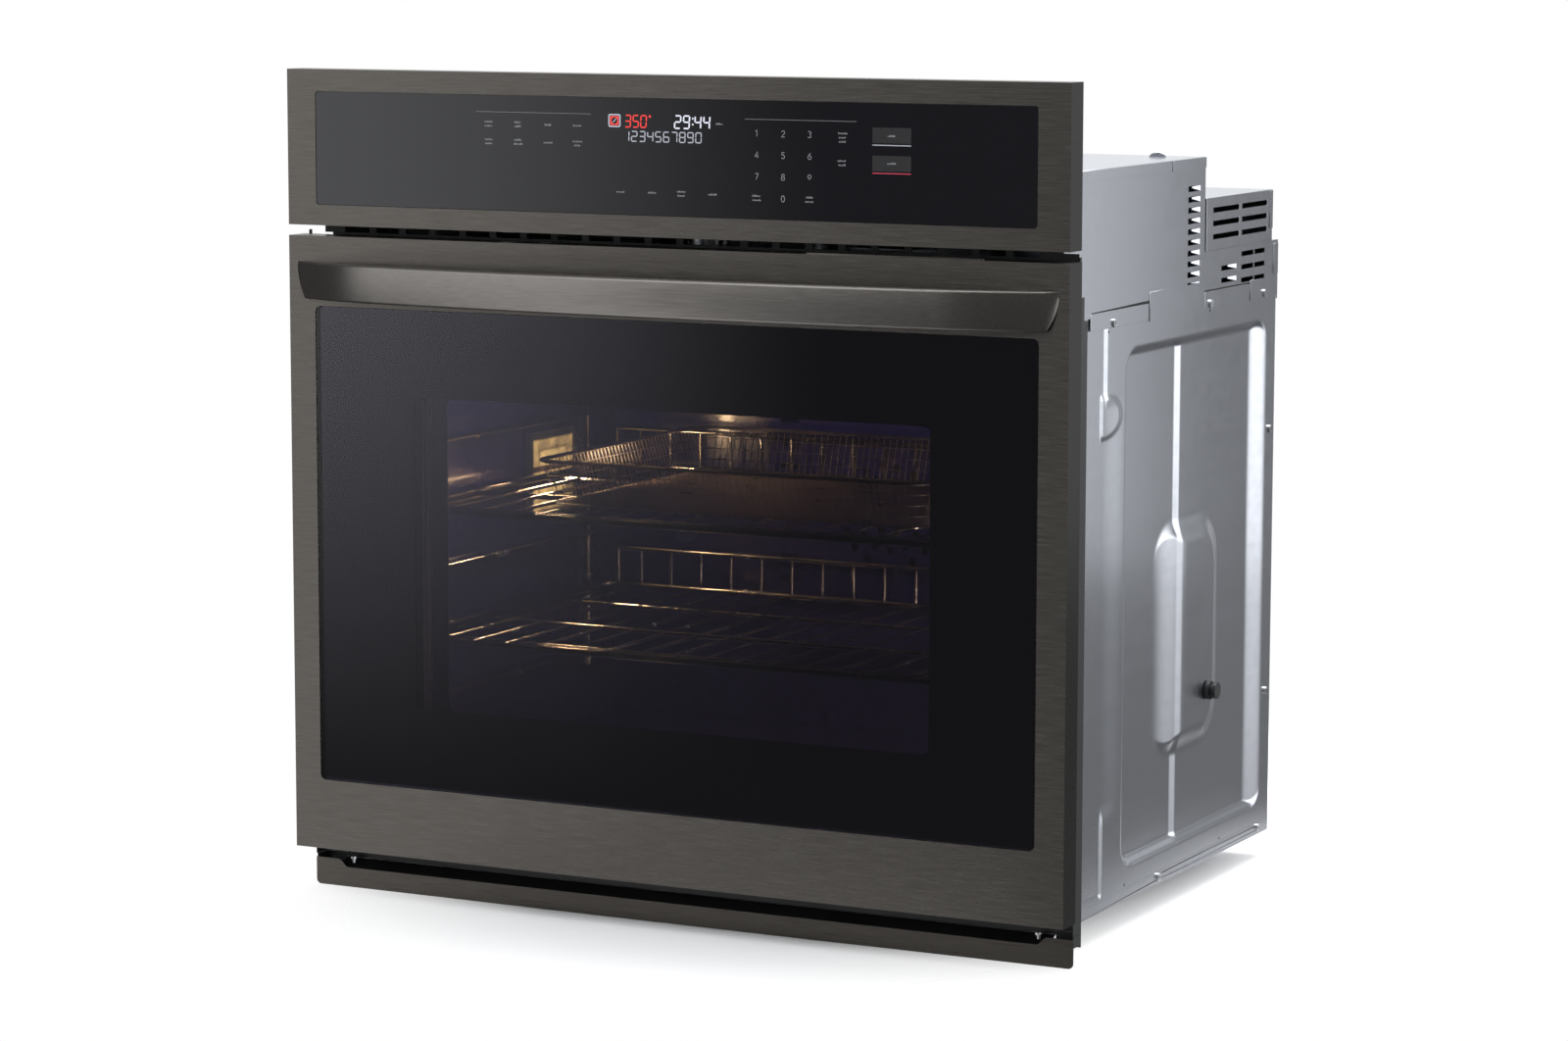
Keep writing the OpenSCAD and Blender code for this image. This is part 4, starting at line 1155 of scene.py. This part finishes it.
SEGMENTS = {"a": ((0, 1), (1, 1)), "b": ((1, 1), (1, 0.5)), "c": ((1, 0.5), (1, 0)),
            "d": ((1, 0), (0, 0)), "e": ((0, 0), (0, 0.5)), "f": ((0, 0.5), (0, 1)),
            "g": ((0, 0.5), (1, 0.5))}
NUMERALS = {"0": "abcdef", "1": "bc", "2": "abged", "3": "abgcd", "4": "fgbc",
            "5": "afgcd", "6": "afgcde", "7": "abc", "8": "abcdefg", "9": "abcdfg"}


def lit_cell(solid, x, z, width, height, lit, stroke, lean=0.06):
    """One segment cell with its lit bars; x, z is its bottom left corner."""
    for key in lit:
        (x0, z0), (x1, z1) = SEGMENTS[key]
        a = Vector((x + x0 * width + z0 * height * lean, z + z0 * height))
        b = Vector((x + x1 * width + z1 * height * lean, z + z1 * height))
        along = (b - a).normalized()
        a += along * stroke * 0.62
        b -= along * stroke * 0.62
        side = Vector((-along.y, along.x)) * stroke / 2
        tip = along * stroke / 2
        outline = [a - tip, a + side, b + side, b + tip, b - side, a - side]
        ink(solid, [mm(*p) for p in reversed(outline)])


def display():
    red = Solid()
    white = Solid()
    dim = Solid()
    for i, figure in enumerate("350"):
        lit_cell(red, -36.0 + i * 7.6, 674.0, 5.2, 10.0, NUMERALS[figure], 1.25)
    ring = arc(-11.8, 683.4, 1.2, 1.2, 0, 359, 12)
    ink(red, [mm(*p) for p in ring])
    for x, figure in ((12.0, "2"), (20.4, "9"), (31.4, "4"), (39.8, "4")):
        lit_cell(white, x, 673.9, 5.6, 10.6, NUMERALS[figure], 1.3)
    for z in (676.6, 681.6):
        ink(white, rounded(mm(28.9, 30.3), mm(z, z + 1.5), 0.0003, 2))
    for i, figure in enumerate("1234567890"):
        lit_cell(dim, -37.4 + i * 7.75, 662.0, 5.2, 8.4, NUMERALS[figure], 0.95, 0.03)
    frame_in = rounded(mm(-51.0, -41.4), mm(674.8, 683.7), 0.0012, 4)
    ink(dim, rounded(mm(-52.2, -40.2), mm(673.6, 684.9), 0.0018, 4), [frame_in])
    dial = [mm(*p) for p in arc(-46.2, 679.2, 2.9, 2.9, 0, 337.5, 16)]
    ink(red, rounded(mm(-50.4, -42.0), mm(675.4, 683.1), 0.0008, 3), [dial])
    for a, b in (((-47.9, 677.6), (-45.2, 680.3)), ((-46.6, 678.4), (-44.6, 680.9))):
        ink(dim, ribbon([mm(*a), mm(*b)], 0.0007))
    finish_piece("display_red", red, "digit_red", "root")
    finish_piece("display_white", white, "digit_white", "root")
    finish_piece("display_dim", dim, "digit_dim", "root")


# ---- wire tray on the upper rack ---------------------------------------------------

TRAY_X = (-0.195, 0.195)
TRAY_Y = (0.070, 0.392)
TRAY_FLOOR = 0.3262
TRAY_RIM = 0.3660
TRAY_PITCH = 0.0066
TRAY_SPLAY = 0.012
TRAY_MARGIN = 0.008
TRAY_CROSSING = 0.0008
RIM_R = 0.0018
BASE_R = 0.001
WIRE_R = 0.0005


def spaced(low, high, margin, pitch):
    """Even places at about the pitch, a margin inside low and high."""
    low += margin
    high -= margin
    count = max(1, round((high - low) / pitch))
    return [low + (high - low) * i / count for i in range(count + 1)]


def fry_tray():
    """A fine wire tray: a stout rim, splayed mesh sides and a mesh floor."""
    solid = Solid()
    inner_x = (TRAY_X[0] + TRAY_SPLAY, TRAY_X[1] - TRAY_SPLAY)
    inner_y = (TRAY_Y[0] + TRAY_SPLAY, TRAY_Y[1] - TRAY_SPLAY)
    over = TRAY_FLOOR + TRAY_CROSSING
    rim = [(a, b, TRAY_RIM) for a, b in rounded(TRAY_X, TRAY_Y, 0.02, 5)]
    solid.tube(rim, RIM_R, 8, True)
    base = [(a, b, TRAY_FLOOR) for a, b in rounded(inner_x, inner_y, 0.012, 4)]
    solid.tube(base, BASE_R, 6, True)
    for level in (0.25, 0.5, 0.75):
        inset = TRAY_SPLAY * (1 - level)
        z = TRAY_FLOOR + (TRAY_RIM - TRAY_FLOOR) * level
        loop = rounded((TRAY_X[0] + inset, TRAY_X[1] - inset),
                       (TRAY_Y[0] + inset, TRAY_Y[1] - inset), 0.016, 4)
        solid.tube([(a, b, z) for a, b in loop], WIRE_R, 4, True)
    for x in spaced(*inner_x, TRAY_MARGIN, TRAY_PITCH):
        solid.tube([(x, TRAY_Y[0], TRAY_RIM), (x, inner_y[0], TRAY_FLOOR),
                    (x, inner_y[1], TRAY_FLOOR), (x, TRAY_Y[1], TRAY_RIM)], WIRE_R, 4)
    for y in spaced(*inner_y, TRAY_MARGIN, TRAY_PITCH):
        solid.tube([(TRAY_X[0], y, TRAY_RIM), (inner_x[0], y, over),
                    (inner_x[1], y, over), (TRAY_X[1], y, TRAY_RIM)], WIRE_R, 4)
    finish_piece("fry_tray", solid, "tray_wire", "upper_rack")


SIDES = (("right", 1), ("left", -1))
PIECES = (housing_skin, folded_tabs, painted_fold_shade, rear_louvres, top_tongues, trim_face,
          trim_ledge, gap_ends, glass_print, glass_spacers, handle_bar, top_lip,
          keypad_digits, panel_legends, touch_keys, display, fry_tray)


def make_pieces():
    for side, sign in SIDES:
        side_sheet("side_sheet_" + side, sign, "side_panel_" + side)
    for side, sign in SIDES:
        painted_side_holes("painted_side_holes_" + side, sign)
    for make in PIECES:
        make()


# ---- studio -------------------------------------------------------------------------

# Each lamp's place, what it points at, its size, power and colour
LAMPS = {
    "top_bank": ((0.2, 1.0, 3.5), (0, 0.45, 0), (3.2, 2.6), 185, (1, 1, 1)),
    "oven_glow": ((-0.284, 0.262, 0.345), (0.3, 0.1, 0.25), (0.05, 0.035), 0.8,
                  (1.0, 0.68, 0.26)),
    "guard_glint": ((0.27, 0.10, 0.145), (-0.05, 0.40, 0.22), (0.04, 0.03), 0.38,
                    (1.0, 0.76, 0.42)),
    "cavity_fill": ((0.0, 0.10, 0.47), (0.0, 0.25, 0.2), (0.5, 0.2), 1.5,
                    (0.60, 0.48, 1.0)),
    "side_card": ((1.10, 1.0, 0.66), (1.10, 0.0, 0.66), (0.80, 1.0), 1.65,
                  (0.95, 0.975, 1.0)),
}


def area_light(name, at, towards, size, power, colour):
    data = bpy.data.lights.new(name, "AREA")
    data.shape = "RECTANGLE"
    data.size, data.size_y = size
    data.energy = power
    data.color = colour
    light = bpy.data.objects.new(name, data)
    bpy.context.scene.collection.objects.link(light)
    direction = Vector(towards) - Vector(at)
    light.location = at
    light.rotation_euler = direction.to_track_quat("-Z", "Y").to_euler()
    return light


# Bright patches of the sky: azimuth from -Y towards +X, half width at full strength and
# where it ends (degrees), the heights between which it comes in, and its strength
SKY = ((-42.5, 8, 16.5, (-0.21, -0.06), 1.65), (-26, 7, 14, (0.14, 0.38), 2.2),
       (-35, 5, 10, (-0.22, -0.32), 2.4), (124, 12, 26, (-0.3, 0.03), 2.35),
       (62, 12, 24, (-0.4, -0.2), 1.8), (-150, 20, 50, (-0.4, 0.0), 0.8))
SKY_BASE = 0.16
SKY_TOP = 0.55
SKY_TOP_RISE = (0.25, 0.9)
SKY_TINT = (0.97, 0.985, 1.0, 1.0)
WHITE = (1.0, 1.0, 1.0, 1.0)


def sky_patch(g, around, height, azimuth, near, far, rise, strength):
    """A soft bright patch of the sky round an azimuth."""
    turn = math.radians(azimuth)
    middle = (math.sin(turn), -math.cos(turn), 0)
    facing = g.vector("DOT_PRODUCT", around, middle, out="Value")
    edge = (math.cos(math.radians(far)), math.cos(math.radians(near)))
    fade = g.spread(facing, 0.0, strength, edge, "SMOOTHSTEP")
    return g.math("MULTIPLY", fade, g.spread(height, 0.0, 1.0, rise, "SMOOTHSTEP"))


def make_world():
    """A dim sky with bright patches for the object, plain white for the camera."""
    world = bpy.data.worlds.new("studio")
    bpy.context.scene.world = world
    g = Graph(world, "OutputWorld")
    direction = g.add("TexCoord").outputs["Generated"]
    height = g.add("SeparateXYZ", direction).outputs["Z"]
    around = g.vector("NORMALIZE", g.vector("MULTIPLY", direction, (1, 1, 0)))
    total = g.spread(height, SKY_BASE, SKY_TOP, SKY_TOP_RISE, "SMOOTHSTEP")
    for patch in SKY:
        total = g.math("ADD", total, sky_patch(g, around, height, *patch))
    soft = g.add("Background", Color=SKY_TINT, Strength=total)
    seen = g.add("Background", Color=WHITE, Strength=1.0)
    g.mix(g.add("LightPath").outputs["Is Camera Ray"], soft, seen)


# The floor: half its side, its grid, and the pale oval on it (stretch, shift and the
# distances between which it fades out)
FLOOR_HALF = 9.0
FLOOR_STEPS = 12
OVAL_SCALE = (1.75, 1, 0)
OVAL_SHIFT = (0, -0.42, 0)
OVAL_FADE = (0.50, 0.82)


def make_floor(level):
    """A pale floor that fades into the background round the object."""
    n = FLOOR_STEPS
    lines = [-FLOOR_HALF + 2 * FLOOR_HALF * i / n for i in range(n + 1)]
    verts = [(x, y, level) for x in lines for y in lines]
    row = n + 1
    faces = [[i * row + j, (i + 1) * row + j, (i + 1) * row + j + 1, i * row + j + 1]
             for i in range(n) for j in range(n)]
    mesh = bpy.data.meshes.new("floor")
    mesh.from_pydata(verts, [], faces)
    floor = bpy.data.objects.new("floor", mesh)
    bpy.context.scene.collection.objects.link(floor)
    s = Shader("floor", Roughness=0.9)
    s.give(Base_Color=s.two_tone(s.noise(1.2, 2.0), (0.86, 0.86, 0.865), (0.9, 0.9, 0.9)))
    reach = s.vector("LENGTH", s.scaled(OVAL_SCALE, OVAL_SHIFT), out="Value")
    s.mix(s.spread(reach, 0.0, 1.0, OVAL_FADE), s.bsdf, s.add("BsdfTransparent"))
    floor.data.materials.append(s.material)


def make_studio():
    view = bpy.context.scene.view_settings
    view.view_transform = "Standard"
    view.look = "None"
    make_world()
    make_floor(CAD_BOX[0][2] - 0.0005)
    lamps = {name: area_light(name, *facts) for name, facts in LAMPS.items()}
    lamps["oven_glow"].visible_camera = False
    lamps["cavity_fill"].visible_glossy = False
    lamps["side_card"].visible_camera = False


# ---- build --------------------------------------------------------------------------

make_camera()
MATERIALS = make_materials()
make_studio()
finish_nodes()
make_pieces()
